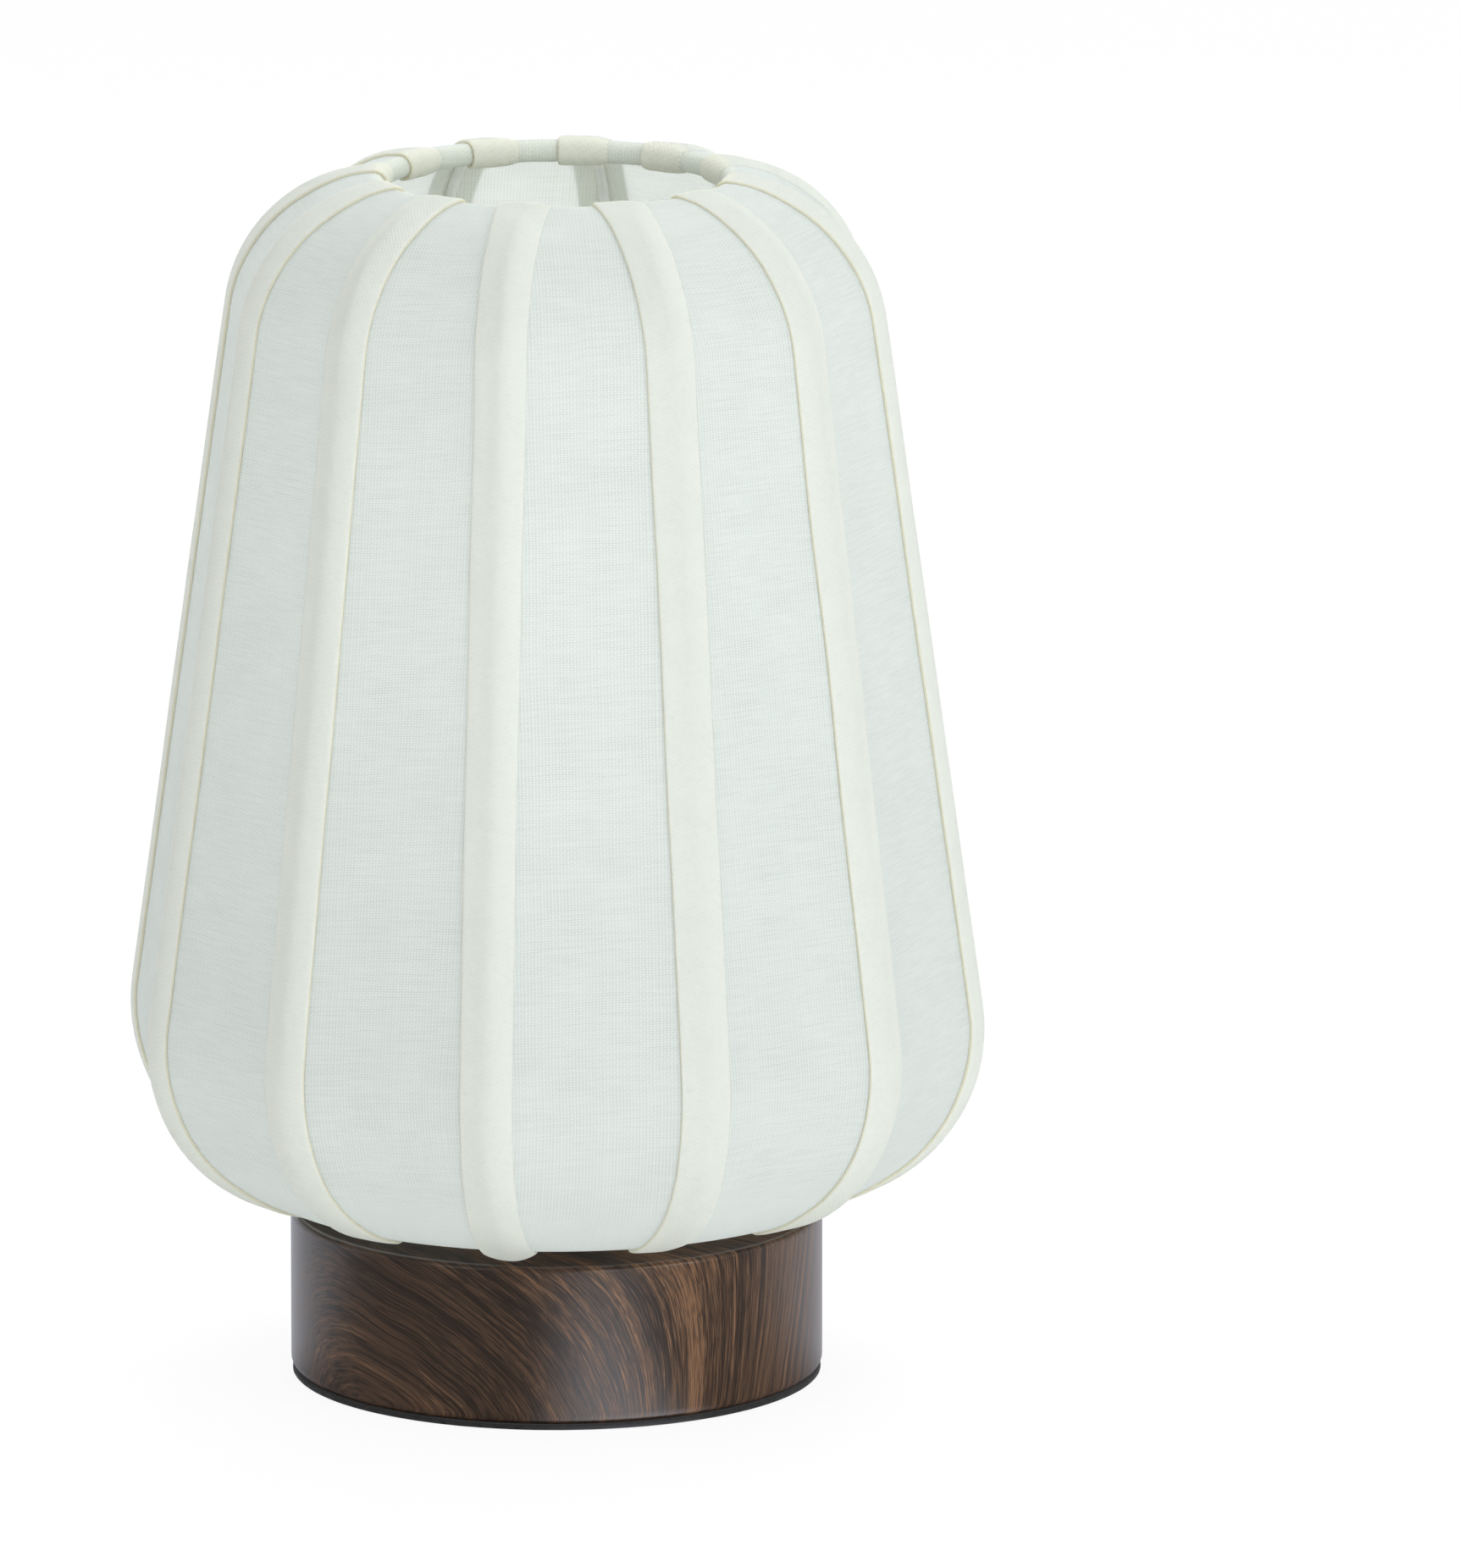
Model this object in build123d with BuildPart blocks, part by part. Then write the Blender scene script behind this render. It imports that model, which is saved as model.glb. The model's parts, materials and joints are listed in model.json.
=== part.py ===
from build123d import *

import os
from math import acos, asin, cos, degrees, radians, sin, sqrt

# A table lamp: a twelve-sided cloth shade on a wire frame, over a turned drum base.
# Millimetres. The lamp's axis is Z, the floor is at height 0 and the front faces -Y.

# Drum base
base_radius = 76.85
base_height = 46.4
base_top_round = 1.5
base_bottom_round = 3.0
recess_radius = 62.0
recess_depth = 33.0
cover_ledge = 4.0
cover_thickness = 4.0
pad_thickness = 1.5
pad_inset = 1.0
weight_radius = 56.0
weight_thickness = 14.0
weight_edge = 1.0

# Cable gland in the back of the drum
gland_height = 14.5
gland_bore_radius = 3.6
gland_wall = 2.4
gland_flange_width = 3.0
gland_flange_thickness = 2.2
gland_stand_out = 0.25
gland_tail = 1.5

# Threaded stem that clamps lampholder, drum and weight together
stem_radius = 5.0
stem_bore_radius = 4.0
stem_foot = 1.0
seat_radius = 15.0
seat_thickness = 1.2
nut_across_flats = 14.0
nut_height = 6.0
nut_flange_radius = 11.0
nut_flange_thickness = 1.5

# Lampholder
cap_radius = 20.0
cap_height = 18.0
cap_floor = 8.0
cap_wall = 1.8
cap_ledge = 1.7
cap_ledge_height = 3.0
cap_round = 3.0
skirt_length = 5.0
holder_flange_radius = 23.0
holder_flange_thickness = 3.0
holder_thread_radius = 19.8
holder_thread_length = 20.0
holder_nose_radius = 19.0
holder_nose_length = 7.0
holder_bore_radius = 15.4
holder_lip_radius = 13.9
holder_lip_thickness = 2.0
carrier_flange_thickness = 1.9
carrier_height = 12.0
terminal_spacing = 17.0
terminal_screw_radius = 1.75
terminal_head_radius = 3.2
terminal_head_height = 2.0
terminal_screw_length = 7.0
shell_radius = 14.1
shell_wall = 0.5
shell_floor_opening = 10.0
contact_width = 6.0
contact_thickness = 0.5
contact_reach = 7.0
contact_rise = 4.0
contact_bend = 0.8

# Ring nut that clamps the shade's fitter on the lampholder
shade_ring_radius = 24.5
shade_ring_height = 6.2
shade_ring_notches = 12
shade_ring_notch_radius = 1.6

# Bulb with a 27 mm screw cap, slim enough for the fitter ring to pass over it
tip_radius = 4.6
tip_height = 1.55
insulator_radius = 10.8
insulator_height = 5.4
insulator_step = 2.0
bulb_cap_radius = 13.2
bulb_cap_length = 20.5
bulb_cap_shoulder = 2.0
bulb_cap_wall = 0.5
glass_neck_radius = 12.6
glass_neck_depth = 11.0
glass_radius = 18.5
glass_shoulder = 18.0
glass_straight = 48.0
glass_wall = 0.9
stem_flare_thickness = 1.0
bulb_stem_radius = 3.5
bulb_stem_length = 30.0
filament_count = 4
filament_circle_radius = 8.0
filament_radius = 1.0
filament_length = 36.0
filament_plate_thickness = 0.8

# Shade: the cloth's outer face in the plane of a rib
rib_count = 12
first_rib_angle = -99.0
hem_gap = 5.6
shade_height = 297.9
wall_angle = 8.02
belly_radius = 123.84
belly_arc_radius = 51.6
shoulder_arc_radius = 45.4
upper_ring_radius = 51.5
lower_ring_radius = 79.5
cloth_thickness = 0.6
fold_thickness = 0.9
cloth_end = 1.4

# Wire frame
ring_wire_radius = 2.0
rib_wire_radius = 1.5
rib_notch = 1.8
rib_weld = 1.5

# Tapes over the ribs
tape_width = 15.0
tape_thickness = 1.1
tape_gap = 0.06
tape_turn_start = 82.0
tape_turn_end = 275.0

# Fitter, the ring and spokes that carry the shade
fitter_bore_radius = 21.0
fitter_ring_radius = 28.0
fitter_ring_thickness = 1.6
spoke_count = 3
spoke_radius = 1.6
spoke_start_radius = 24.5
spoke_bend_radius = 31.0
spoke_bend = 8.0
spoke_slit = 0.15

# Clearances: parts that are clamped or glued, and parts that turn or slide
fit = 0.05
running = 0.07

# Heights that follow from the stack of parts on the floor
drum_bottom = pad_thickness
drum_top = drum_bottom + base_height
recess_top = drum_bottom + recess_depth
weight_bottom = recess_top - weight_thickness
nut_bottom = weight_bottom - nut_flange_thickness - nut_height
stem_bottom = nut_bottom - stem_foot
holder_bottom = drum_top + seat_thickness
stem_top = holder_bottom + cap_floor
cap_top = holder_bottom + cap_height
holder_flange_top = cap_top + holder_flange_thickness
holder_thread_top = holder_flange_top + holder_thread_length
holder_top = holder_thread_top + holder_nose_length
carrier_bottom = stem_top + cap_ledge_height
skirt_bottom = cap_top - skirt_length
carrier_top = carrier_bottom + carrier_height
shell_top = holder_top - holder_lip_thickness - fit
contact_top = carrier_top + contact_rise
fitter_bottom = holder_flange_top + fit
fitter_top = fitter_bottom + fitter_ring_thickness

# The shade's section: an arc at the shoulder, a straight wall and an arc at the belly
hem_height = drum_top + hem_gap
crown_height = hem_height + shade_height
belly_centre_radius = belly_radius - belly_arc_radius
belly_centre_height = hem_height + sqrt(
    belly_arc_radius**2 - (lower_ring_radius - belly_centre_radius) ** 2
)
shoulder_centre_height = crown_height - shoulder_arc_radius
wall_reach = (
    belly_centre_radius * cos(radians(wall_angle))
    + belly_centre_height * sin(radians(wall_angle))
    + belly_arc_radius
)
shoulder_centre_radius = (
    wall_reach - shoulder_arc_radius - shoulder_centre_height * sin(radians(wall_angle))
) / cos(radians(wall_angle))
shoulder_centre = (shoulder_centre_radius, shoulder_centre_height)
belly_centre = (belly_centre_radius, belly_centre_height)

rib_step = 360 / rib_count
half_step = rib_step / 2
rib_depth = cloth_thickness + fit + rib_wire_radius / cos(radians(half_step))
fold_radius = ring_wire_radius + fit + fold_thickness


def facet_drop(ring_radius, arc_centre_radius, arc_radius):
    """How much nearer the arc's centre the flat cloth passes a ring between two ribs than at a rib."""
    at_rib = sqrt(arc_radius**2 - (ring_radius - arc_centre_radius) ** 2)
    flat_radius = ring_radius / cos(radians(half_step))
    between_ribs = sqrt(arc_radius**2 - (flat_radius - arc_centre_radius) ** 2)
    return max(0, at_rib - between_ribs)


# The rings lie on the same arcs, deeper than the cloth, so that their folds run into it all round
fold_depth = fold_radius + cloth_thickness / 2
upper_ring_depth = fold_depth + facet_drop(
    upper_ring_radius, shoulder_centre_radius, shoulder_arc_radius
)
lower_ring_depth = fold_depth + facet_drop(lower_ring_radius, belly_centre_radius, belly_arc_radius)
upper_ring_height = shoulder_centre_height + sqrt(
    (shoulder_arc_radius - upper_ring_depth) ** 2 - (upper_ring_radius - shoulder_centre_radius) ** 2
)
lower_ring_height = belly_centre_height - sqrt(
    (belly_arc_radius - lower_ring_depth) ** 2 - (lower_ring_radius - belly_centre_radius) ** 2
)
rings = (
    (upper_ring_radius, upper_ring_height),
    (lower_ring_radius, lower_ring_height),
)


def radial_plane(angle):
    """The upright plane through the lamp's axis in a direction: x outwards, y upwards."""
    outwards = (cos(radians(angle)), sin(radians(angle)), 0)
    across = (sin(radians(angle)), -cos(radians(angle)), 0)
    return Plane(origin=(0, 0, 0), x_dir=outwards, z_dir=across)


def shade_line(depth, overhang):
    """Draw the shade's section at a depth under the cloth's outer face.

    It ends overhang outside the middle of each ring. Its ends are returned, the crown's first.
    """
    shoulder = shoulder_arc_radius - depth
    belly = belly_arc_radius - depth
    top_angle = degrees(acos((upper_ring_radius + overhang - shoulder_centre_radius) / shoulder))
    hem_angle = degrees(acos((lower_ring_radius + overhang - belly_centre_radius) / belly))
    crown = CenterArc(shoulder_centre, shoulder, wall_angle, top_angle - wall_angle)
    hem = CenterArc(belly_centre, belly, -hem_angle, hem_angle + wall_angle)
    Line(crown @ 0, hem @ 1)
    return crown @ 1, hem @ 0


def shade_band(outer_depth, inner_depth, overhang):
    """Draw the closed section of a layer of the shade between two depths."""
    outer_crown, outer_hem = shade_line(outer_depth, overhang)
    inner_crown, inner_hem = shade_line(inner_depth, overhang)
    Line(outer_crown, inner_crown)
    Line(outer_hem, inner_hem)


def facet_direction(angle):
    """The level direction along a flat panel whose middle faces that way."""
    return (-sin(radians(angle)), cos(radians(angle)), 0)


def rims(piece, radius):
    """The round edges of that radius about the axis, the lowest first."""
    circles = piece.edges().filter_by(GeomType.CIRCLE)
    return circles.filter_by(lambda edge: abs(edge.radius - radius) < fit).sort_by(Axis.Z)


os.makedirs("parts", exist_ok=True)


# Drum base, hollow from below, with a ledge for the cover
with BuildPart() as base_drum:
    with BuildSketch(Plane.XZ):
        with BuildLine():
            Polyline(
                (stem_radius + fit, drum_top),
                (base_radius, drum_top),
                (base_radius, drum_bottom),
                (recess_radius + cover_ledge, drum_bottom),
                (recess_radius + cover_ledge, drum_bottom + cover_thickness),
                (recess_radius, drum_bottom + cover_thickness),
                (recess_radius, recess_top),
                (stem_radius + fit, recess_top),
                close=True,
            )
        make_face()
    revolve(axis=Axis.Z)
    fillet(rims(base_drum, base_radius)[-1:], base_top_round)
    fillet(rims(base_drum, base_radius)[:1], base_bottom_round)
    gland_barrel_radius = gland_bore_radius + gland_wall
    gland_flange_radius = gland_barrel_radius + gland_flange_width
    gland_axis_height = drum_bottom + gland_height
    gland_face = base_radius + gland_stand_out
    gland_seat = gland_face - gland_flange_thickness
    with BuildSketch(Plane.XZ):
        with Locations((0, gland_axis_height)):
            Circle(gland_barrel_radius + fit)
    extrude(amount=-base_radius - gland_flange_thickness, mode=Mode.SUBTRACT)
    with BuildSketch(Plane.XZ.offset(-gland_seat)):
        with Locations((0, gland_axis_height)):
            Circle(gland_flange_radius + fit)
    extrude(amount=-gland_flange_thickness - base_bottom_round, mode=Mode.SUBTRACT)
base_drum.part.label = "base_drum"
export_step(base_drum.part, "parts/base_drum.step")


# Bush that lines the cable's way out of the drum
with BuildPart() as cable_gland:
    with BuildSketch(Plane.XZ.offset(-gland_seat)):
        with Locations((0, gland_axis_height)):
            Circle(gland_flange_radius)
    extrude(amount=-gland_flange_thickness)
    chamfer(cable_gland.faces().sort_by(Axis.Y)[-1].edges(), gland_flange_thickness / 3)
    with BuildSketch(Plane.XZ.offset(-gland_seat)):
        with Locations((0, gland_axis_height)):
            Circle(gland_barrel_radius)
    extrude(amount=gland_seat - recess_radius + gland_tail)
    with BuildSketch(Plane.XZ.offset(-gland_face)):
        with Locations((0, gland_axis_height)):
            Circle(gland_bore_radius)
    extrude(amount=gland_face, mode=Mode.SUBTRACT)
cable_gland.part.label = "cable_gland"
export_step(cable_gland.part, "parts/cable_gland.step")


# Steel weight under the drum's top
with BuildPart() as base_weight:
    with BuildSketch(Plane.XY.offset(weight_bottom)):
        Circle(weight_radius)
        Circle(stem_radius + fit, mode=Mode.SUBTRACT)
    extrude(amount=weight_thickness)
    chamfer(rims(base_weight, weight_radius), weight_edge)
base_weight.part.label = "base_weight"
export_step(base_weight.part, "parts/base_weight.step")


# Board that closes the recess
with BuildPart() as base_cover:
    with BuildSketch(Plane.XY.offset(drum_bottom)):
        Circle(recess_radius + cover_ledge - fit)
    extrude(amount=cover_thickness)
base_cover.part.label = "base_cover"
export_step(base_cover.part, "parts/base_cover.step")


# Pad that the lamp stands on
with BuildPart() as foot_pad:
    with BuildSketch(Plane.XY):
        Circle(base_radius - pad_inset)
    extrude(amount=pad_thickness)
foot_pad.part.label = "foot_pad"
export_step(foot_pad.part, "parts/foot_pad.step")


# Hollow threaded stem, its nut under the weight and its seat on the drum
with BuildPart() as stem_tube:
    with BuildSketch(Plane.XY.offset(stem_bottom)):
        Circle(stem_radius)
        Circle(stem_bore_radius, mode=Mode.SUBTRACT)
    extrude(amount=stem_top - stem_bottom)
stem_tube.part.label = "stem_tube"
export_step(stem_tube.part, "parts/stem_tube.step")

with BuildPart() as stem_nut:
    with BuildSketch(Plane.XY.offset(nut_bottom)):
        RegularPolygon(nut_across_flats / 2, 6, major_radius=False)
    extrude(amount=nut_height)
    with BuildSketch(Plane.XY.offset(nut_bottom + nut_height)):
        Circle(nut_flange_radius)
    extrude(amount=nut_flange_thickness)
    with BuildSketch(Plane.XY.offset(nut_bottom)):
        Circle(stem_radius + fit)
    extrude(amount=nut_height + nut_flange_thickness, mode=Mode.SUBTRACT)
stem_nut.part.label = "stem_nut"
export_step(stem_nut.part, "parts/stem_nut.step")

with BuildPart() as seat_washer:
    with BuildSketch(Plane.XY.offset(drum_top)):
        Circle(seat_radius)
        Circle(stem_radius + fit, mode=Mode.SUBTRACT)
    extrude(amount=seat_thickness)
seat_washer.part.label = "seat_washer"
export_step(seat_washer.part, "parts/seat_washer.step")


# Lampholder cap, screwed on the stem
cap_inner_radius = cap_radius - cap_wall
with BuildPart() as lampholder_cap:
    with BuildSketch(Plane.XZ):
        with BuildLine():
            Polyline(
                (stem_radius + fit, holder_bottom),
                (cap_radius, holder_bottom),
                (cap_radius, cap_top),
                (cap_inner_radius, cap_top),
                (cap_inner_radius, carrier_bottom),
                (cap_inner_radius - cap_ledge, carrier_bottom),
                (cap_inner_radius - cap_ledge, stem_top),
                (stem_radius + fit, stem_top),
                close=True,
            )
        make_face()
    revolve(axis=Axis.Z)
    fillet(rims(lampholder_cap, cap_radius)[:1], cap_round)
lampholder_cap.part.label = "lampholder_cap"
export_step(lampholder_cap.part, "parts/lampholder_cap.step")


# Lampholder body, with the flange that carries the fitter and the thread above it
with BuildPart() as lampholder_body:
    with BuildSketch(Plane.XZ):
        with BuildLine():
            Polyline(
                (holder_bore_radius, skirt_bottom),
                (cap_inner_radius - fit, skirt_bottom),
                (cap_inner_radius - fit, cap_top),
                (holder_flange_radius, cap_top),
                (holder_flange_radius, holder_flange_top),
                (holder_thread_radius, holder_flange_top),
                (holder_thread_radius, holder_thread_top),
                (holder_nose_radius, holder_thread_top),
                (holder_nose_radius, holder_top),
                (holder_lip_radius, holder_top),
                (holder_lip_radius, holder_top - holder_lip_thickness),
                (holder_bore_radius, holder_top - holder_lip_thickness),
                close=True,
            )
        make_face()
    revolve(axis=Axis.Z)
    fillet(rims(lampholder_body, holder_nose_radius)[-1:], holder_lip_thickness / 2)
lampholder_body.part.label = "lampholder_body"
export_step(lampholder_body.part, "parts/lampholder_body.step")


# Insulating carrier of the contacts, clamped between cap and body
with BuildPart() as contact_carrier:
    with BuildSketch(Plane.XY.offset(carrier_bottom)):
        Circle(cap_inner_radius - fit)
    extrude(amount=carrier_flange_thickness)
    with BuildSketch(Plane.XY.offset(carrier_bottom)):
        Circle(holder_bore_radius - fit)
    extrude(amount=carrier_height)
    with BuildSketch(Plane.XY.offset(carrier_bottom)):
        with GridLocations(terminal_spacing, 0, 2, 1):
            Circle(terminal_screw_radius + fit)
    extrude(amount=terminal_screw_length, mode=Mode.SUBTRACT)
contact_carrier.part.label = "contact_carrier"
export_step(contact_carrier.part, "parts/contact_carrier.step")

with BuildPart() as terminal_screws:
    with BuildSketch(Plane.XY.offset(carrier_bottom)):
        with GridLocations(terminal_spacing, 0, 2, 1):
            Circle(terminal_screw_radius)
    extrude(amount=terminal_screw_length - fit)
    with BuildSketch(Plane.XY.offset(carrier_bottom - terminal_head_height)):
        with GridLocations(terminal_spacing, 0, 2, 1):
            Circle(terminal_head_radius)
    extrude(amount=terminal_head_height)
terminal_screws.part.label = "terminal_screws"
export_step(terminal_screws.part, "parts/terminal_screws.step")


# Screw shell that takes the bulb's cap
with BuildPart() as screw_shell:
    with BuildSketch(Plane.XZ):
        with BuildLine():
            Polyline(
                (shell_floor_opening, carrier_top),
                (shell_radius, carrier_top),
                (shell_radius, shell_top),
                (shell_radius - shell_wall, shell_top),
                (shell_radius - shell_wall, carrier_top + shell_wall),
                (shell_floor_opening, carrier_top + shell_wall),
                close=True,
            )
        make_face()
    revolve(axis=Axis.Z)
screw_shell.part.label = "screw_shell"
export_step(screw_shell.part, "parts/screw_shell.step")


# Spring tongue under the bulb, a strip folded back over itself
with BuildPart() as centre_contact:
    strip_low = carrier_top + contact_thickness / 2
    strip_high = contact_top - contact_thickness / 2
    with BuildSketch(Plane.XZ):
        with BuildLine():
            FilletPolyline(
                (-contact_reach, strip_low),
                (contact_reach, strip_low),
                (-contact_width / 2, strip_high),
                (contact_width / 2, strip_high),
                radius=contact_bend,
            )
        trace(line_width=contact_thickness)
    extrude(amount=contact_width / 2, both=True)
centre_contact.part.label = "centre_contact"
export_step(centre_contact.part, "parts/centre_contact.step")


# Ring nut over the fitter, with finger notches
with BuildPart() as shade_ring:
    with BuildSketch(Plane.XY.offset(fitter_top + fit)):
        Circle(shade_ring_radius)
        Circle(holder_thread_radius + running, mode=Mode.SUBTRACT)
        with PolarLocations(shade_ring_radius, shade_ring_notches):
            Circle(shade_ring_notch_radius, mode=Mode.SUBTRACT)
    extrude(amount=shade_ring_height)
shade_ring.part.label = "shade_ring"
export_step(shade_ring.part, "parts/shade_ring.step")


# Bulb: foot contact and its insulator
tip_bottom = contact_top + fit
insulator_bottom = tip_bottom + tip_height
insulator_top = insulator_bottom + insulator_height
with BuildPart() as bulb_tip:
    with BuildSketch(Plane.XY.offset(tip_bottom)):
        Circle(tip_radius)
    extrude(amount=tip_height)
    fillet(bulb_tip.edges().sort_by(Axis.Z)[:1], tip_height / 2)
bulb_tip.part.label = "bulb_tip"
export_step(bulb_tip.part, "parts/bulb_tip.step")

with BuildPart() as bulb_insulator:
    with BuildSketch(Plane.XZ):
        with BuildLine():
            Polyline(
                (0, insulator_bottom),
                (tip_radius, insulator_bottom),
                (insulator_radius, insulator_top - insulator_step),
                (insulator_radius, insulator_top),
                (0, insulator_top),
                close=True,
            )
        make_face()
    revolve(axis=Axis.Z)
bulb_insulator.part.label = "bulb_insulator"
export_step(bulb_insulator.part, "parts/bulb_insulator.step")


# Bulb: thin metal screw cap
bulb_cap_bottom = insulator_top - insulator_step
bulb_cap_top = bulb_cap_bottom + bulb_cap_length
with BuildPart() as bulb_cap:
    with BuildSketch(Plane.XZ):
        with BuildLine():
            Polyline(
                (insulator_radius + running, bulb_cap_bottom),
                (bulb_cap_radius, bulb_cap_bottom + bulb_cap_shoulder),
                (bulb_cap_radius, bulb_cap_top),
                (bulb_cap_radius - bulb_cap_wall, bulb_cap_top),
                (bulb_cap_radius - bulb_cap_wall, bulb_cap_bottom + bulb_cap_shoulder),
                (insulator_radius + running, bulb_cap_bottom + bulb_cap_wall),
                close=True,
            )
        make_face()
    revolve(axis=Axis.Z)
bulb_cap.part.label = "bulb_cap"
export_step(bulb_cap.part, "parts/bulb_cap.step")


# Bulb: glass, a straight tube with a round end and a waisted neck in the cap
glass_bottom = bulb_cap_top - glass_neck_depth
glass_wide = bulb_cap_top + glass_shoulder
glass_dome = glass_wide + glass_straight
with BuildPart() as bulb_glass:
    with BuildSketch(Plane.XZ):
        with BuildLine():
            outer_neck = Line((glass_neck_radius, glass_bottom), (glass_neck_radius, bulb_cap_top))
            outer_swell = Spline(
                outer_neck @ 1,
                (glass_radius, glass_wide),
                tangents=[(0, 1), (0, 1)],
            )
            outer_side = Line(outer_swell @ 1, (glass_radius, glass_dome))
            outer_dome = CenterArc((0, glass_dome), glass_radius, 0, 90)
            inner_neck = Line(
                (glass_neck_radius - glass_wall, glass_bottom),
                (glass_neck_radius - glass_wall, bulb_cap_top),
            )
            inner_swell = Spline(
                inner_neck @ 1,
                (glass_radius - glass_wall, glass_wide),
                tangents=[(0, 1), (0, 1)],
            )
            inner_side = Line(inner_swell @ 1, (glass_radius - glass_wall, glass_dome))
            inner_dome = CenterArc((0, glass_dome), glass_radius - glass_wall, 0, 90)
            Line(outer_neck @ 0, inner_neck @ 0)
            Line(outer_dome @ 1, inner_dome @ 1)
        make_face()
    revolve(axis=Axis.Z)
bulb_glass.part.label = "bulb_glass"
export_step(bulb_glass.part, "parts/bulb_glass.step")


# Bulb: glass stem with its flare, two carrying plates and the filament sticks
stem_flare_bottom = glass_bottom + stem_flare_thickness
bulb_stem_top = stem_flare_bottom + bulb_stem_length
with BuildPart() as bulb_filament:
    with BuildSketch(Plane.XY.offset(stem_flare_bottom)):
        Circle(glass_neck_radius - glass_wall - fit)
    extrude(amount=stem_flare_thickness)
    with BuildSketch(Plane.XY.offset(stem_flare_bottom)):
        Circle(bulb_stem_radius)
    extrude(amount=bulb_stem_length)
    for plate_bottom in (bulb_stem_top, bulb_stem_top + filament_length):
        with BuildSketch(Plane.XY.offset(plate_bottom)):
            Circle(filament_circle_radius + 2 * filament_radius)
        extrude(amount=filament_plate_thickness)
    with BuildSketch(Plane.XY.offset(bulb_stem_top)):
        with PolarLocations(filament_circle_radius, filament_count):
            Circle(filament_radius)
    extrude(amount=filament_length)
bulb_filament.part.label = "bulb_filament"
export_step(bulb_filament.part, "parts/bulb_filament.step")


# Upper and lower ring of the wire frame
with BuildPart() as upper_ring:
    with BuildSketch(Plane.XZ):
        with Locations((upper_ring_radius, upper_ring_height)):
            Circle(ring_wire_radius)
    revolve(axis=Axis.Z)
upper_ring.part.label = "upper_ring"
export_step(upper_ring.part, "parts/upper_ring.step")

with BuildPart() as lower_ring:
    with BuildSketch(Plane.XZ):
        with Locations((lower_ring_radius, lower_ring_height)):
            Circle(ring_wire_radius)
    revolve(axis=Axis.Z)
lower_ring.part.label = "lower_ring"
export_step(lower_ring.part, "parts/lower_ring.step")


# Fitter ring on the lampholder's flange
with BuildPart() as fitter_ring:
    with BuildSketch(Plane.XY.offset(fitter_bottom)):
        Circle(fitter_ring_radius)
        Circle(fitter_bore_radius, mode=Mode.SUBTRACT)
    extrude(amount=fitter_ring_thickness)
fitter_ring.part.label = "fitter_ring"
export_step(fitter_ring.part, "parts/fitter_ring.step")


# Spokes from the fitter ring's underside down to the lower ring, under the middle of a panel
spoke_height = fitter_bottom - fit - spoke_radius
spoke_angles = [first_rib_angle + half_step + 360 / spoke_count * turn for turn in range(spoke_count)]
with BuildPart() as fitter_spokes:
    for angle in spoke_angles:
        with BuildLine(radial_plane(angle)) as spoke_path:
            FilletPolyline(
                (spoke_start_radius, spoke_height),
                (spoke_bend_radius, spoke_height),
                (lower_ring_radius, lower_ring_height),
                radius=spoke_bend,
            )
        with BuildSketch(Plane(spoke_path.wires()[0] ^ 0)):
            Circle(spoke_radius)
        sweep(path=spoke_path.wires()[0])
    with BuildSketch(Plane.XZ):
        with Locations((lower_ring_radius, lower_ring_height)):
            Circle(ring_wire_radius + fit)
    revolve(axis=Axis.Z, mode=Mode.SUBTRACT)
fitter_spokes.part.label = "fitter_spokes"
export_step(fitter_spokes.part, "parts/fitter_spokes.step")


# Rib wires, bent to the shade's section and welded to both rings
for index in range(rib_count):
    rib_angle = first_rib_angle + rib_step * index
    with BuildPart() as rib_wire:
        with BuildLine(radial_plane(rib_angle)) as rib_path:
            shade_line(rib_depth, rib_weld)
        with BuildSketch(Plane(rib_path.wires()[0] ^ 0)):
            Circle(rib_wire_radius)
        sweep(path=rib_path.wires()[0])
        with BuildSketch(Plane.XZ):
            for ring_radius, ring_height in rings:
                with Locations((ring_radius, ring_height)):
                    Circle(ring_wire_radius + fit)
        revolve(axis=Axis.Z, mode=Mode.SUBTRACT)
    rib_wire.part.label = f"rib_wire_{index + 1:02d}"
    export_step(rib_wire.part, f"parts/rib_wire_{index + 1:02d}.step")


# One cloth panel, flat across, folded round both rings between the ribs
with BuildPart() as panel_pattern:
    with BuildSketch(radial_plane(-half_step)):
        with BuildLine():
            shade_band(0, cloth_thickness, cloth_end)
        make_face()
    extrude(amount=2 * belly_radius * sin(radians(half_step)) + tape_width, dir=facet_direction(0))
    split(bisect_by=radial_plane(half_step), keep=Keep.TOP)
    for ring_radius, ring_height in rings:
        fold_half_angle = half_step - degrees(rib_notch / ring_radius)
        with BuildSketch(radial_plane(-fold_half_angle)):
            with Locations((ring_radius, ring_height)):
                Circle(fold_radius)
        revolve(axis=Axis.Z, revolution_arc=2 * fold_half_angle)
    with BuildSketch(radial_plane(-half_step)):
        for ring_radius, ring_height in rings:
            with Locations((ring_radius, ring_height)):
                Circle(ring_wire_radius + fit)
    revolve(axis=Axis.Z, revolution_arc=2 * half_step, mode=Mode.SUBTRACT)

# The twelve panels, slit where a spoke meets the lower ring
for index in range(rib_count):
    panel_angle = first_rib_angle + half_step + rib_step * index
    with BuildPart() as shade_panel:
        add(panel_pattern.part, rotation=(0, 0, panel_angle))
        if any(abs(panel_angle - angle) < half_step for angle in spoke_angles):
            side = radial_plane(panel_angle)
            weld = side.from_local_coords((lower_ring_radius, lower_ring_height, 0))
            bend = side.from_local_coords((spoke_bend_radius, spoke_height, 0))
            with BuildSketch(Plane(origin=weld, z_dir=bend - weld)):
                Circle(spoke_radius + spoke_slit)
            extrude(amount=2 * fold_radius, mode=Mode.SUBTRACT)
    shade_panel.part.label = f"shade_panel_{index + 1:02d}"
    export_step(shade_panel.part, f"parts/shade_panel_{index + 1:02d}.step")


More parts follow.
